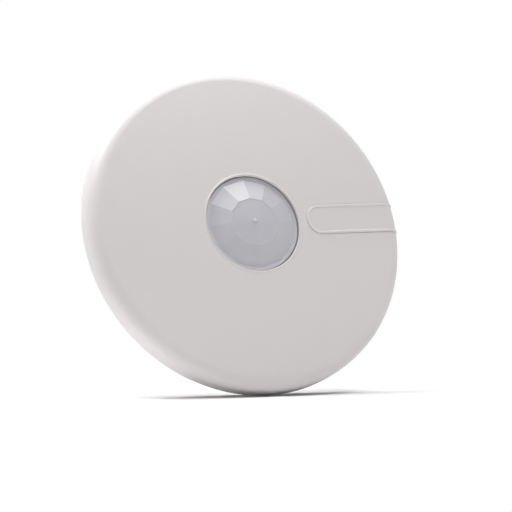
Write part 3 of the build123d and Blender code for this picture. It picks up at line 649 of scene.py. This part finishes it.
def soften_edges(piece: Piece, width_mm: float, angle_deg: float = 30.0) -> None:
    """Rounds the sharp edges of a piece.

    Args:
        piece: The object.
        width_mm: The width of the rounding.
        angle_deg: Edges that turn by more than this are rounded.
    """
    bevel = piece.modifiers.new("soft edges", "BEVEL")
    bevel.width = width_mm * MM
    bevel.segments = BEVEL_STEPS
    bevel.limit_method = "ANGLE"
    bevel.angle_limit = math.radians(angle_deg)
    bevel.harden_normals = True
    bevel.use_clamp_overlap = True


def shade(
    piece: Piece,
    angle_deg: float = 30.0,
    skin: Optional[Callable[[Vector], Optional[Vector]]] = None,
) -> None:
    """Shades a piece smoothly, and exactly where the form of its skin is known.

    Args:
        piece: The object.
        angle_deg: Edges that turn by more than this stay sharp.
        skin: Gives the true normal at a point of the outer skin, or None off it.
    """
    mesh = piece.data
    mesh.polygons.foreach_set("use_smooth", [True] * len(mesh.polygons))
    mesh.set_sharp_from_angle(angle=math.radians(angle_deg))
    if skin is None:
        return
    normals = [Vector(n.vector) for n in mesh.corner_normals]
    for polygon in mesh.polygons:
        true = [skin(mesh.vertices[mesh.loops[i].vertex_index].co) for i in polygon.loop_indices]
        if all(n is not None and n.dot(polygon.normal) > FACING for n in true):
            for loop, normal in zip(polygon.loop_indices, true):
                normals[loop] = normal
    mesh.normals_split_custom_set([tuple(n) for n in normals])


def finish_piece(piece: Piece, body: str, slot: str, replaced: Sequence[str] = ()) -> None:
    """Gives a piece its finish and its body.

    Args:
        piece: The object, in place.
        body: The body that it rides on.
        slot: The record's material slot.
        replaced: The CAD nodes that it stands for.
    """
    material = MATERIALS[slot]
    piece.data.materials.clear()
    piece.data.materials.append(material)
    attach(piece, body)
    if replaced:
        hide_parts(*replaced)
    faces = len(piece.data.polygons)
    LOG.info("%s: %d faces, body %s, %s", piece.name, faces, body, material.name)


# The forms that the cover and the name strip share


@dataclass(frozen=True)
class DomeForm:
    """The cover's outer skin: a shallow dome with a rounded rim."""

    rim_radius: float = 63.5
    rim_back: float = 8.0
    rise: float = 12.0
    corner_rise: float = 9.1
    rounding: float = 5.5
    opening_radius: float = 18.8
    wall: float = 2.0

    @property
    def centre(self) -> float:
        """The depth of the dome's centre, far behind the ceiling face."""
        squares = self.rise**2 - self.corner_rise**2 + self.opening_radius**2 - self.rim_radius**2
        return self.rim_back + squares / (2 * (self.rise - self.corner_rise))

    @property
    def radius(self) -> float:
        """The radius of the dome."""
        return math.hypot(self.rim_back + self.rise - self.centre, self.opening_radius)

    @property
    def bend_centre(self) -> Pair:
        """Radius and depth of the centre of the rim's rounding."""
        radius = self.rim_radius - self.rounding
        return radius, self.centre + math.sqrt((self.radius - self.rounding) ** 2 - radius**2)

    @property
    def bend_start(self) -> float:
        """The angle at which the rounding leaves the dome, from the radial direction."""
        bend_radius, bend_depth = self.bend_centre
        return math.atan2(bend_depth - self.centre, bend_radius)

    @property
    def dome_end(self) -> float:
        """The distance from the axis at which the rounding leaves the dome."""
        return self.radius * math.cos(self.bend_start)

    def depth(self, radius: float) -> float:
        """The depth of the dome at a distance from the axis."""
        return self.centre + math.sqrt(self.radius**2 - radius**2)

    def raised(self, x: float, z: float, rise: float) -> Vector:
        """The point a rise over the dome, square to its skin at a place in X and Z."""
        depth, share = self.depth(math.hypot(x, z)), rise / self.radius
        return point_at(x * (1 + share), depth + share * (depth - self.centre), z * (1 + share))

    def normal(self, point: Vector) -> Optional[Vector]:
        """Finds the true normal of the outer skin.

        Args:
            point: A point in metres.

        Returns:
            The unit normal, or None where the point isn't on the skin.
        """
        radius, depth = math.hypot(point.x, point.z) / MM, -point.y / MM
        bend_radius, bend_depth = self.bend_centre
        reach = math.hypot(radius, depth - self.centre)
        bend_reach = math.hypot(radius - bend_radius, depth - bend_depth)
        near = SKIN_TOLERANCE_MM
        if abs(reach - self.radius) < near and radius <= self.dome_end + near:
            across, along = radius / reach, (depth - self.centre) / reach
        elif depth >= bend_depth and abs(bend_reach - self.rounding) < near:
            across = (radius - bend_radius) / self.rounding
            along = (depth - bend_depth) / self.rounding
        elif abs(radius - self.rim_radius) < near and depth < bend_depth:
            across, along = 1.0, 0.0
        else:
            return None
        return Vector((across * point.x / (radius * MM), -along, across * point.z / (radius * MM)))


DOME = DomeForm()


@dataclass(frozen=True)
class StripForm:
    """Where the name strip lies: along the dome's chord, from near the lens out over the rim."""

    inner_end: float = 22.5
    half_width: float = 5.85
    lip_back: float = 12.2
    lip_thick: float = 2.2

    @property
    def round_x(self) -> float:
        """The place of the centre of the strip's round end."""
        return self.inner_end + self.half_width

    @property
    def slope(self) -> float:
        """How much the strip's plane rises towards the ceiling per length along X."""
        chord_end = DOME.rim_radius - DOME.rounding
        return (DOME.depth(self.inner_end) - DOME.depth(chord_end)) / (chord_end - self.inner_end)

    def plane_depth(self, x: float, sink: float) -> float:
        """The depth of the plane that lies a sink below the strip's chord."""
        fall = (x - self.inner_end) * self.slope + sink * math.hypot(1, self.slope)
        return DOME.depth(self.inner_end) - fall

    def channel(self, half_width: float, sink: float, rise: float) -> Piece:
        """Makes the space that a tongue of this width takes, square to the strip's plane.

        Args:
            half_width: Half the width of the tongue.
            sink: How far its floor lies below the strip's chord.
            rise: How far it reaches above the chord.

        Returns:
            The closed prism.
        """
        far = DOME.rim_radius + OVERSHOOT_MM
        round_end = arc((self.round_x, 0.0), half_width, math.pi / 2, 1.5 * math.pi, steps=28)
        corners = [(far, half_width), *round_end, (far, -half_width)]
        outline = [point_at(x, self.plane_depth(x, sink), z) for x, z in corners]
        up = Vector((self.slope, -1.0, 0.0)).normalized()
        return prism(outline, up * (sink + rise) * MM)


STRIP = StripForm()


@dataclass(frozen=True)
class Bead:
    """The rounded bead that stands up along the strip's edge."""

    width: float = 1.15
    height: float = 0.38
    fullness: float = 2.4
    edge_share: float = 0.35

    def at(self, inset: float) -> float:
        """Finds how high the bead stands.

        Args:
            inset: The distance from the strip's edge.

        Returns:
            The height there, which is 0 further in than the bead.
        """
        if inset >= self.width:
            return 0.0
        if inset <= 0:
            return self.height * self.edge_share
        middle = (inset - self.width / 2) / (self.width / 2)
        return self.height * (1 - abs(middle) ** self.fullness) ** 0.5


@dataclass(frozen=True)
class Station:
    """A place along the strip's middle line, on the dome or on the rim.

    On the dome, follow grows from 0, where rows run straight across, towards 1, where they follow
    the rim. On the rim it is 1, and the depth and the normal's two parts are those of the rim.
    """

    radius: float
    follow: float
    depth: float = 0.0
    across: float = 0.0
    along: float = 0.0

    def raised(self, z: float, rise: float) -> Vector:
        """Finds a point of the station's row.

        Args:
            z: The distance from the middle line.
            rise: The height over the skin.

        Returns:
            The point in metres.
        """
        x = math.sqrt(self.radius**2 - (self.follow * z) ** 2)
        if self.follow < 1:
            return DOME.raised(x, z, rise)
        lengthened = x * (1 + rise * self.across / self.radius)
        return point_at(lengthened, self.depth + rise * self.along, z)


@dataclass(frozen=True)
class Tongue:
    """A tongue-shaped slab: the cover's skin on its front, the strip's plane on its back.

    Its round end has the radius half_width. Its front stands the rise over the skin, its back
    lies the sink below the strip's chord, and its lip runs down the rim's side to end_depth.
    """

    half_width: float
    rise: float
    sink: float
    end_depth: float
    lip: float
    bead: Optional[Bead] = None
    inner_shares: Sequence[float] = (0.0, 0.2, 0.4, 0.6)
    # Distances from the edge, close together where the bead is steep
    insets: Sequence[float] = (
        1.3, 1.06, 1.0, 0.98, 0.94, 0.86, 0.74, 0.6, 0.5, 0.4, 0.26, 0.14, 0.06, 0.02, 0.0,
    )

    @property
    def reaches(self) -> list[float]:
        """The distances from the middle line of the points of each row."""
        inner = [self.half_width * share for share in self.inner_shares]
        return inner + [self.half_width - inset for inset in self.insets]

    def height(self, reach: float) -> float:
        """How high the front stands over the skin at a distance from the middle line."""
        return self.rise + (self.bead.at(self.half_width - reach) if self.bead else 0.0)

    def stations(self) -> list[Station]:
        """Samples the skin along the middle line.

        Returns:
            The stations from the round end over the rim to the end of the lip.
        """
        bend_radius, bend_depth = DOME.bend_centre
        radii = spread(STRIP.round_x, DOME.dome_end, steps=30)
        follows = spread(0.0, 1.0, steps=30)
        made = [Station(radius, follow) for radius, follow in zip(radii[:-1], follows)]
        for radius, depth in arc(DOME.bend_centre, DOME.rounding, DOME.bend_start, 0.0, steps=12):
            across = (radius - bend_radius) / DOME.rounding
            along = (depth - bend_depth) / DOME.rounding
            made.append(Station(radius, 1.0, depth, across, along))
        for depth in spread(bend_depth, self.end_depth, steps=3)[1:]:
            made.append(Station(DOME.rim_radius, 1.0, depth, across=1.0))
        return made

    def straight_rows(self) -> list[Row]:
        """Makes the rows of one half of the straight part.

        Returns:
            The rows from the round end to the lip's end, each out over the front and back again.
        """
        stations = self.stations()
        lip_x = DOME.rim_radius - self.lip
        lip_start = STRIP.plane_depth(lip_x, self.sink)
        first_lip = next(i for i, station in enumerate(stations) if station.radius > lip_x)
        rows = []
        for index, station in enumerate(stations):
            fronts = [station.raised(z, self.height(z)) for z in self.reaches]
            if index < first_lip:
                places = [min(p.x / MM, lip_x) for p in fronts]
                depths = [STRIP.plane_depth(x, self.sink) for x in places]
            else:
                share = (index - first_lip + 1) / (len(stations) - first_lip)
                places = [lip_x] * len(fronts)
                depths = [lip_start + (self.end_depth - lip_start) * share] * len(fronts)
            backs = [point_at(*corner) for corner in zip(places, depths, self.reaches)]
            rows.append([*fronts, *reversed(backs)])
        return rows

    def round_rows(self) -> list[Row]:
        """Makes the rows of the round end.

        Returns:
            The rows from the +Z side to the -Z side, each out over the front and back again.
        """
        rows = []
        for angle in spread(math.pi / 2, 1.5 * math.pi, steps=20)[1:-1]:
            fronts, backs = [], []
            for reach in self.reaches:
                x, z = STRIP.round_x + reach * math.cos(angle), reach * math.sin(angle)
                fronts.append(DOME.raised(x, z, self.height(reach)))
                backs.append(point_at(x, STRIP.plane_depth(x, self.sink), z))
            rows.append([*fronts, *reversed(backs)])
        return rows

    def build(self, name: str) -> Piece:
        """Makes the slab.

        Args:
            name: The object's name.

        Returns:
            The closed slab.
        """
        straight = self.straight_rows()
        mirrored = [[Vector((p.x, p.y, -p.z)) for p in row] for row in straight]
        rows = [*reversed(straight), *self.round_rows(), *mirrored]
        count = len(rows[0])
        faces = grid_faces(len(rows), count, round_rows=False)
        for a in (0, (len(rows) - 1) * count):
            z = a + count - 1
            faces += [(a + i, a + i + 1, z - i - 1, z - i) for i in range(count // 2 - 1)]
        return new_piece(name, [p for row in rows for p in row], faces)


# The pieces


@dataclass
class FrontCover:
    """The domed shell with its lens collar, its lock boss and the strip's channel.

    The lock's columns each have a radius and the depths of their back and front.
    """

    segments: int = 288
    opening_edge: float = 0.5
    lip_rise: float = 0.22
    lip_width: float = 0.6
    undercut: float = 0.15
    edge_height: float = 0.1
    back_edge: float = 0.35
    collar_radius: float = 23.15
    collar_back: float = 15.0
    seat_radius: float = 21.15
    seat_depth: float = 16.6
    channel_half_width: float = 5.97
    channel_sink: float = 1.6
    channel_rise: float = 4.0
    channel_floor: float = 1.0
    channel_side: float = 2.5
    channel_rim: float = 1.6
    lip_gap: float = 0.2
    pocket_height: float = 8.0
    lock_place: Pair = (47.0, 0.0)
    lock_boss: Point = (4.7, 11.9, 16.6)
    lock_seat: Point = (3.2, 12.9, 20.0)
    lock_shank: Point = (1.55, 11.0, 14.0)

    def section(self) -> list[Pair]:
        """Draws the section of the turned shell, from the opening over the dome and back inside.

        Returns:
            Radius and depth of each corner.
        """
        edge, wall, bend = self.opening_edge, DOME.wall, DOME.bend_centre
        opening, dome_end = DOME.opening_radius, DOME.dome_end
        front = DOME.depth(opening + edge) + self.lip_rise
        edge_back = front - edge - self.edge_height
        bore = opening + self.undercut
        points = [(bore, self.seat_depth), (bore, edge_back), (opening, edge_back)]
        points += arc((opening + edge, front - edge), edge, math.pi, math.pi / 2, steps=6)
        for share in spread(0.0, 1.0, steps=5)[1:]:
            radius = opening + edge + self.lip_width * share
            rise = self.lip_rise * (1 + math.cos(math.pi * share)) / 2
            points.append((radius, DOME.depth(radius) + rise))
        face = spread(points[-1][0], dome_end, steps=40)[1:-1]
        points += [(r, DOME.depth(r)) for r in face]
        points += arc(bend, DOME.rounding, DOME.bend_start, 0.0, steps=14)
        back = (DOME.rim_radius - self.back_edge, DOME.rim_back + self.back_edge)
        points += arc(back, self.back_edge, 0.0, -math.pi / 2, steps=4)
        points.append((DOME.rim_radius - wall, DOME.rim_back))
        points += arc(bend, DOME.rounding - wall, 0.0, DOME.bend_start, steps=8)
        inside = spread(dome_end, self.collar_radius, steps=10)[1:]
        points += [(r, DOME.depth(r) - wall) for r in inside]
        points += [(self.collar_radius, self.collar_back), (self.seat_radius, self.collar_back)]
        return [*points, (self.seat_radius, self.seat_depth)]

    def pocket(self) -> Piece:
        """Makes the space in the rim that takes the strip's lip.

        Returns:
            The closed prism.
        """
        inner = DOME.rim_radius - STRIP.lip_thick - self.lip_gap
        outer, width = DOME.rim_radius + OVERSHOOT_MM, self.channel_half_width
        corners = [(inner, -width), (outer, -width), (outer, width), (inner, width)]
        outline = [point_at(x, STRIP.lip_back - self.lip_gap, z) for x, z in corners]
        return prism(outline, Vector((0, -self.pocket_height * MM, 0)))

    def build(self) -> None:
        """Builds the shell with the strip's channel and the lock's boss in its dome."""
        shell = turned_solid("cover_shell", self.section(), self.segments)
        width = self.channel_half_width
        block = Tongue(
            half_width=width + self.channel_side,
            rise=-DOME.wall / 2,
            sink=self.channel_sink + self.channel_floor,
            end_depth=STRIP.lip_back - self.lip_gap - self.channel_rim,
            lip=DOME.wall + self.channel_rim,
        )
        combine(shell, block.build("channel_block"), Join.ADD)
        combine(shell, STRIP.channel(width, self.channel_sink, self.channel_rise), Join.CUT)
        combine(shell, self.pocket(), Join.CUT)
        combine(shell, column(self.lock_place, *self.lock_boss, sides=32), Join.ADD)
        combine(shell, column(self.lock_place, *self.lock_seat, sides=32), Join.CUT)
        combine(shell, column(self.lock_place, *self.lock_shank), Join.CUT)
        clean_up(shell.data)
        shade(shell, angle_deg=28.0, skin=DOME.normal)
        finish_piece(shell, "cover", "cover_plastic", ["front_cover"])


@dataclass
class CoverRibs:
    """The gussets in the rim's corner and the ribs under the dome, at angles in degrees."""

    gusset_angles: Sequence[float] = tuple(range(-135, 136, 30))
    gusset_thick: float = 1.2
    gusset_back: float = 11.5
    gusset_reach: float = 5.5
    gusset_tip: float = 0.5
    rib_angles: Sequence[float] = tuple(range(30, 331, 30))
    rib_thick: float = 1.0
    rib_height: float = 1.2
    rib_start: float = 25.9
    rib_end: float = 51.0
    edge_softness: float = 0.15

    def gusset(self) -> list[Pair]:
        """Draws a gusset, which ends half-way into the shell.

        Returns:
            Radius and depth of each corner.
        """
        half = DOME.wall / 2
        side, tip = DOME.rim_radius - half, DOME.rim_radius - half - self.gusset_reach
        front = DOME.bend_centre[1] + DOME.rounding - half
        points = [(side, self.gusset_back), (side - DOME.wall, self.gusset_back)]
        points += [(tip, front - self.gusset_tip), (tip, front)]
        return points + arc(DOME.bend_centre, DOME.rounding - half, math.pi / 2, 0.0, steps=6)

    def rib(self) -> list[Pair]:
        """Draws a rib, whose front lies half-way into the shell.

        Returns:
            Radius and depth of each corner.
        """
        radii = spread(self.rib_start, self.rib_end, steps=8)
        points = [(r, DOME.depth(r) - DOME.wall / 2) for r in radii]
        return points + [(r, DOME.depth(r) - DOME.wall - self.rib_height) for r in reversed(radii)]

    def build(self) -> None:
        """Builds the gussets and the ribs as one piece."""
        gusset, rib = self.gusset(), self.rib()
        webs = [web(angle, gusset, self.gusset_thick) for angle in self.gusset_angles]
        webs += [web(angle, rib, self.rib_thick) for angle in self.rib_angles]
        ribs = merge("cover_ribs", webs)
        soften_edges(ribs, self.edge_softness)
        shade(ribs)
        finish_piece(ribs, "cover", "cover_plastic")


@dataclass
class HingeHooks:
    """The two hooks inside the rim that clip on to the tray's hinge bar."""

    hinge: Pair = (-56.2, 9.2)
    bore: float = 1.25
    outside: float = 2.5
    half_mouth: float = 0.96
    taper: float = 1.25
    width: float = 7.0
    middles: Pair = (-6.0, 6.0)

    def outline(self) -> list[Pair]:
        """Draws a hook, whose mouth looks to the ceiling and whose arm goes into the shell.

        Returns:
            X and depth of each corner.
        """
        x, outside = self.hinge[0], self.outside
        front = DOME.depth(abs(x)) - DOME.wall / 2
        back = -math.pi / 2
        mouth, outer_mouth = (math.asin(self.half_mouth / r) for r in (self.bore, outside))
        points = arc(self.hinge, self.bore, back + mouth, back + math.tau - mouth, steps=24)
        points += arc(self.hinge, outside, back + math.tau - outer_mouth, math.pi, steps=8)
        points += [(x - outside + self.taper, front), (x + outside, front)]
        return points + arc(self.hinge, outside, 0.0, back + outer_mouth, steps=8)

    def build(self) -> None:
        """Builds both hooks as one piece."""
        hooks = []
        for middle in self.middles:
            corners = [point_at(x, depth, middle - self.width / 2) for x, depth in self.outline()]
            hooks.append(prism(corners, Vector((0, 0, self.width * MM))))
        piece = merge("cover_hinge_hooks", hooks)
        shade(piece)
        finish_piece(piece, "cover", "cover_plastic")


@dataclass
class CoverFittings:
    """The snap pips of the lens collar, and the post that presses the tamper switch."""

    snap_angles: Sequence[float] = (45, 135, 225, 315)
    snap_section: Sequence[Pair] = ((22.6, 16.2), (23.95, 16.45), (23.95, 16.65), (22.6, 16.9))
    snap_width: float = 3.0
    post_place: Pair = (28.0, 28.0)
    post_radius: float = 2.2
    post_back: float = 14.45

    def build(self) -> None:
        """Builds the pips and the post as one piece."""
        parts = [web(a, self.snap_section, self.snap_width) for a in self.snap_angles]
        front = DOME.depth(math.hypot(*self.post_place)) - DOME.wall / 2
        parts.append(column(self.post_place, self.post_radius, self.post_back, front))
        piece = merge("cover_fittings", parts)
        shade(piece)
        finish_piece(piece, "cover", "cover_plastic")


@dataclass
class NameStrip:
    """The bare name strip, which slides in the cover's channel."""

    thick: float = 1.5
    bead: Bead = Bead()

    def build(self) -> None:
        """Builds the strip."""
        strip = Tongue(
            half_width=STRIP.half_width,
            rise=0.0,
            sink=self.thick,
            end_depth=STRIP.lip_back,
            lip=STRIP.lip_thick,
            bead=self.bead,
        ).build("name_strip_tongue")
        shade(strip, angle_deg=40.0)
        finish_piece(strip, "name_strip", "cover_plastic", ["name_strip"])


@dataclass
class FacetedLens:
    """The lens: a flanged round cup with a sloping rim, a ring of flat facets and a low crown."""

    facets: int = 12
    cuts_per_facet: int = 12
    rim_radius: float = 18.55
    rim_depth: float = 19.05
    rim_width: float = 0.25
    edge_radius: float = 17.5
    edge_depth: float = 18.8
    crown_radius: float = 9.9
    crown_depth: float = 21.2
    apex_depth: float = 22.0
    apex_radius: float = 1.2
    wall: float = 0.9
    flange_radius: float = 21.0
    flange_front: float = 16.6
    flange_back: float = 15.4
    lip_width: float = 1.0
    lip_height: float = 0.14
    point_radius: float = 1.0
    point_height: float = 0.42
    point_root: float = 0.1
    edge_softness: float = 0.08

    def faceted(self, radius: float, depth: float) -> Row:
        """Samples the sides of the many-sided outline.

        Args:
            radius: The distance of its corners from the axis.
            depth: Its depth.

        Returns:
            As many points as a full circle has.
        """
        corners = ring(radius, depth, self.facets)
        shares = [k / self.cuts_per_facet for k in range(self.cuts_per_facet)]
        sides = zip(corners, corners[1:] + corners[:1])
        return [start.lerp(end, share) for start, end in sides for share in shares]

    def circle(self, radius: float, depth: float) -> Row:
        """Samples a full circle with as many points."""
        return ring(radius, depth, self.facets * self.cuts_per_facet)

    def skin(self, wall: float, base_depth: float) -> list[Row]:
        """Makes the rings of one side of the cup.

        Args:
            wall: How far this side lies behind the outer one.
            base_depth: The depth of the flange on this side.

        Returns:
            The rings from the flange over the rim and the facets to the middle of the crown.
        """
        crown = self.crown_radius - wall / 2
        fall = (self.apex_depth - self.crown_depth) / (self.crown_radius - self.apex_radius)
        rings = [
            self.circle(self.flange_radius, base_depth),
            self.circle(self.rim_radius - wall, base_depth),
            self.circle(self.rim_radius - wall, self.rim_depth - wall),
            self.circle(self.rim_radius - self.rim_width - wall, self.rim_depth - wall),
            self.faceted(self.edge_radius - wall, self.edge_depth - wall),
            self.faceted(crown, self.crown_depth - wall),
        ]
        if wall == 0.0:
            inner = crown - self.lip_width
            middle = crown - self.lip_width / 2
            rings.append(self.faceted(middle, self.crown_depth + self.lip_height))
            rings.append(self.faceted(inner, self.crown_depth + fall * self.lip_width))
        return [*rings, self.faceted(self.apex_radius, self.apex_depth - wall)]

    def build_cup(self) -> None:
        """Builds the lens as one closed cup."""
        outer, inner = self.skin(0.0, self.flange_front), self.skin(self.wall, self.flange_back)
        rings = [*reversed(outer), *inner]
        count = len(rings[0])
        vertices = [point for points in rings for point in points]
        caps = [tuple(range(count)), tuple(range(len(vertices) - count, len(vertices)))]
        sides = grid_faces(len(rings), count, round_rows=True)
        lens = new_piece("faceted_lens", vertices, [*caps, *sides])
        soften_edges(lens, self.edge_softness, angle_deg=4.0)
        shade(lens, angle_deg=3.0)
        finish_piece(lens, "cover", "lens_plastic", ["lens"])

    def build_point(self) -> None:
        """Builds the small raised point in the middle of the crown."""
        back = self.apex_depth - self.point_root
        profile = [(0.0, back), (self.point_radius, back)]
        for turn in spread(0.0, math.pi / 2, steps=6):
            height = self.point_height * math.sin(turn)
            profile.append((self.point_radius * math.cos(turn), self.apex_depth + height))
        point = turned_solid("lens_centre_point", profile, segments=24)
        shade(point, angle_deg=40.0)
        finish_piece(point, "cover", "lens_plastic")

    def build(self) -> None:
        """Builds the cup and the point."""
        self.build_cup()
        self.build_point()


@dataclass
class CarriedPieces:
    """The CAD pieces whose form is right: they keep it and get their real finishes."""

    record: dict

    def build(self) -> None:
        """Dresses every CAD piece that is still shown."""
        slots = {row["node"]: row["material_slot"] for row in self.record["subparts"]}
        for name, node in frame["nodes"].items():
            if node.hide_render:
                continue
            material = MATERIALS[slots[name]]
            if not node.material_slots:
                node.data.materials.append(material)
            for place in node.material_slots:
                place.material = material
            LOG.info("%s: carried, %s", name, material.name)


# The studio


@dataclass(frozen=True)
class Softbox:
    """A square soft lamp that looks at the detector, in metres and watts.

    Its place is given along the photograph's right, up and back.
    """

    name: str
    place: Point
    size: float
    power: float


@dataclass
class Studio:
    """A white sweep, soft lamps and the camera of the photograph, in metres."""

    right: Point = (0.8990, -0.3940, -0.1918)
    up: Point = (0.0579, -0.3270, 0.9432)
    camera_place: Point = (-0.3306, -0.6706, -0.2184)
    focal_mm: float = 143.6
    sensor_mm: float = 36.0
    nearest: float = 0.01
    floor_level: float = -0.0574
    floor_reach: float = 2.5
    paper: str = "#f7f7f7"
    white: str = "#ffffff"
    world_light: float = 0.14
    # The floor turns to plain white between two distances from a point under the disc
    white_middle: float = 0.003
    white_from: float = 0.035
    white_past: float = 0.085
    softboxes: Sequence[Softbox] = (
        # Lights the face evenly from above
        Softbox("overhead_softbox", (0.28, 0.94, 0.12), 0.5, 6.05),
        # Lights the top of the rim from behind
        Softbox("rim_softbox", (-0.42, 0.88, -0.18), 0.5, 11.0),
        # Lifts the left side of the rim
        Softbox("side_softbox", (-0.86, 0.02, 0.26), 0.25, 1.05),
        # Sets the lens's upper facets off from the lower ones
        Softbox("facet_softbox", (0.04, 0.88, 0.48), 0.28, 0.5),
    )

    def axes(self) -> Matrix:
        """Finds the photograph's right, up and back directions.

        Returns:
            The turn that leads to them.
        """
        right = Vector(self.right).normalized()
        up = Vector(self.up)
        up = (up - right * up.dot(right)).normalized()
        return Matrix((right, up, right.cross(up))).transposed()

    def place(self, right: float, up: float, back: float) -> Vector:
        """The point that lies this far along the photograph's own directions."""
        return self.axes() @ Vector((right, up, back))

    def build_camera(self) -> None:
        """Makes the camera at the photograph's angle."""
        data = bpy.data.cameras.new("photograph_camera")
        data.lens = self.focal_mm
        data.sensor_width = self.sensor_mm
        data.clip_start = self.nearest
        camera = put("photograph_camera", data)
        camera.matrix_world = Matrix.Translation(self.camera_place) @ self.axes().to_4x4()
        bpy.context.scene.camera = camera

    def seen_by_eye(self, tree: Tree) -> Socket:
        """Adds nodes that give 1 for camera, mirror and see-through rays, and 0 for the rest.

        Args:
            tree: The node tree.

        Returns:
            The output that says so.
        """
        rays = add_node(tree, "LightPath").outputs
        seen = rays["Is Camera Ray"]
        for name in ("Is Glossy Ray", "Is Transmission Ray"):
            both = {0: seen, 1: rays[name]}
            seen = add_node(tree, "Math", both, operation="MAXIMUM").outputs[0]
        return seen

    def build_floor(self) -> None:
        """Makes the white sweep that the disc stands on."""
        reach = self.floor_reach
        corners = [(-reach, reach), (reach, reach), (reach, -reach), (-reach, -reach)]
        mesh = bpy.data.meshes.new("studio_floor")
        points = [tuple(self.place(a, self.floor_level, b)) for a, b in corners]
        mesh.from_pydata(points, [], [(0, 1, 2, 3)])
        floor = put("studio_floor", mesh)
        material, tree = new_material("white_paper_sweep")
        place = add_node(tree, "TexCoord").outputs["Object"]
        middle = tuple(self.place(self.white_middle, self.floor_level, 0.0))
        away = add_node(
            tree, "VectorMath", {0: place, 1: middle}, operation="DISTANCE"
        ).outputs["Value"]
        far = add_node(
            tree,
            "MapRange",
            {"Value": away, "From Min": self.white_from, "From Max": self.white_past},
            interpolation_type="SMOOTHSTEP",
        ).outputs[0]
        shares = {0: far, 1: self.seen_by_eye(tree)}
        share = add_node(tree, "Math", shares, operation="MULTIPLY").outputs[0]
        paper = add_node(tree, "BsdfDiffuse", {"Color": linear(self.paper)}).outputs[0]
        white = {"Color": linear(self.white), "Strength": 1.0}
        glow = add_node(tree, "Emission", white).outputs[0]
        both = add_node(tree, "MixShader", {0: share, 1: paper, 2: glow}).outputs[0]
        add_node(tree, "OutputMaterial", {"Surface": both})
        mesh.materials.append(material)

    def build_world(self) -> None:
        """Makes the surroundings: white to the eye, and dimmer as a light."""
        world = bpy.data.worlds.new("white_studio")
        world.use_nodes = True
        tree = world.node_tree
        tree.nodes.clear()
        ends = {"To Min": self.world_light, "To Max": 1.0}
        strength = add_node(tree, "MapRange", {"Value": self.seen_by_eye(tree), **ends})
        white = {"Color": linear(self.white), "Strength": strength.outputs[0]}
        sky = add_node(tree, "Background", white)
        add_node(tree, "OutputWorld", {"Surface": sky.outputs[0]})
        bpy.context.scene.world = world

    def build_lamp(self, softbox: Softbox) -> None:
        """Makes one of the lamps.

        Args:
            softbox: What it is and where it stands.
        """
        data = bpy.data.lights.new(softbox.name, "AREA")
        data.shape = "SQUARE"
        data.size = softbox.size
        data.energy = softbox.power
        lamp = put(softbox.name, data)
        spot = self.place(*softbox.place)
        turn = spot.to_track_quat("Z", "Y").to_matrix().to_4x4()
        lamp.matrix_world = Matrix.Translation(spot) @ turn

    def build(self) -> None:
        """Makes the whole studio."""
        self.build_camera()
        self.build_floor()
        self.build_world()
        for softbox in self.softboxes:
            self.build_lamp(softbox)
        bpy.context.scene.view_settings.view_transform = "Standard"


def main() -> None:
    """Builds the studio and every piece of the detector."""
    logging.basicConfig(level=logging.INFO, format="%(name)s: %(message)s")
    Studio().build()
    FrontCover().build()
    CoverRibs().build()
    HingeHooks().build()
    CoverFittings().build()
    NameStrip().build()
    FacetedLens().build()
    CarriedPieces(frame["record"]).build()


if __name__ == "__main__":
    main()
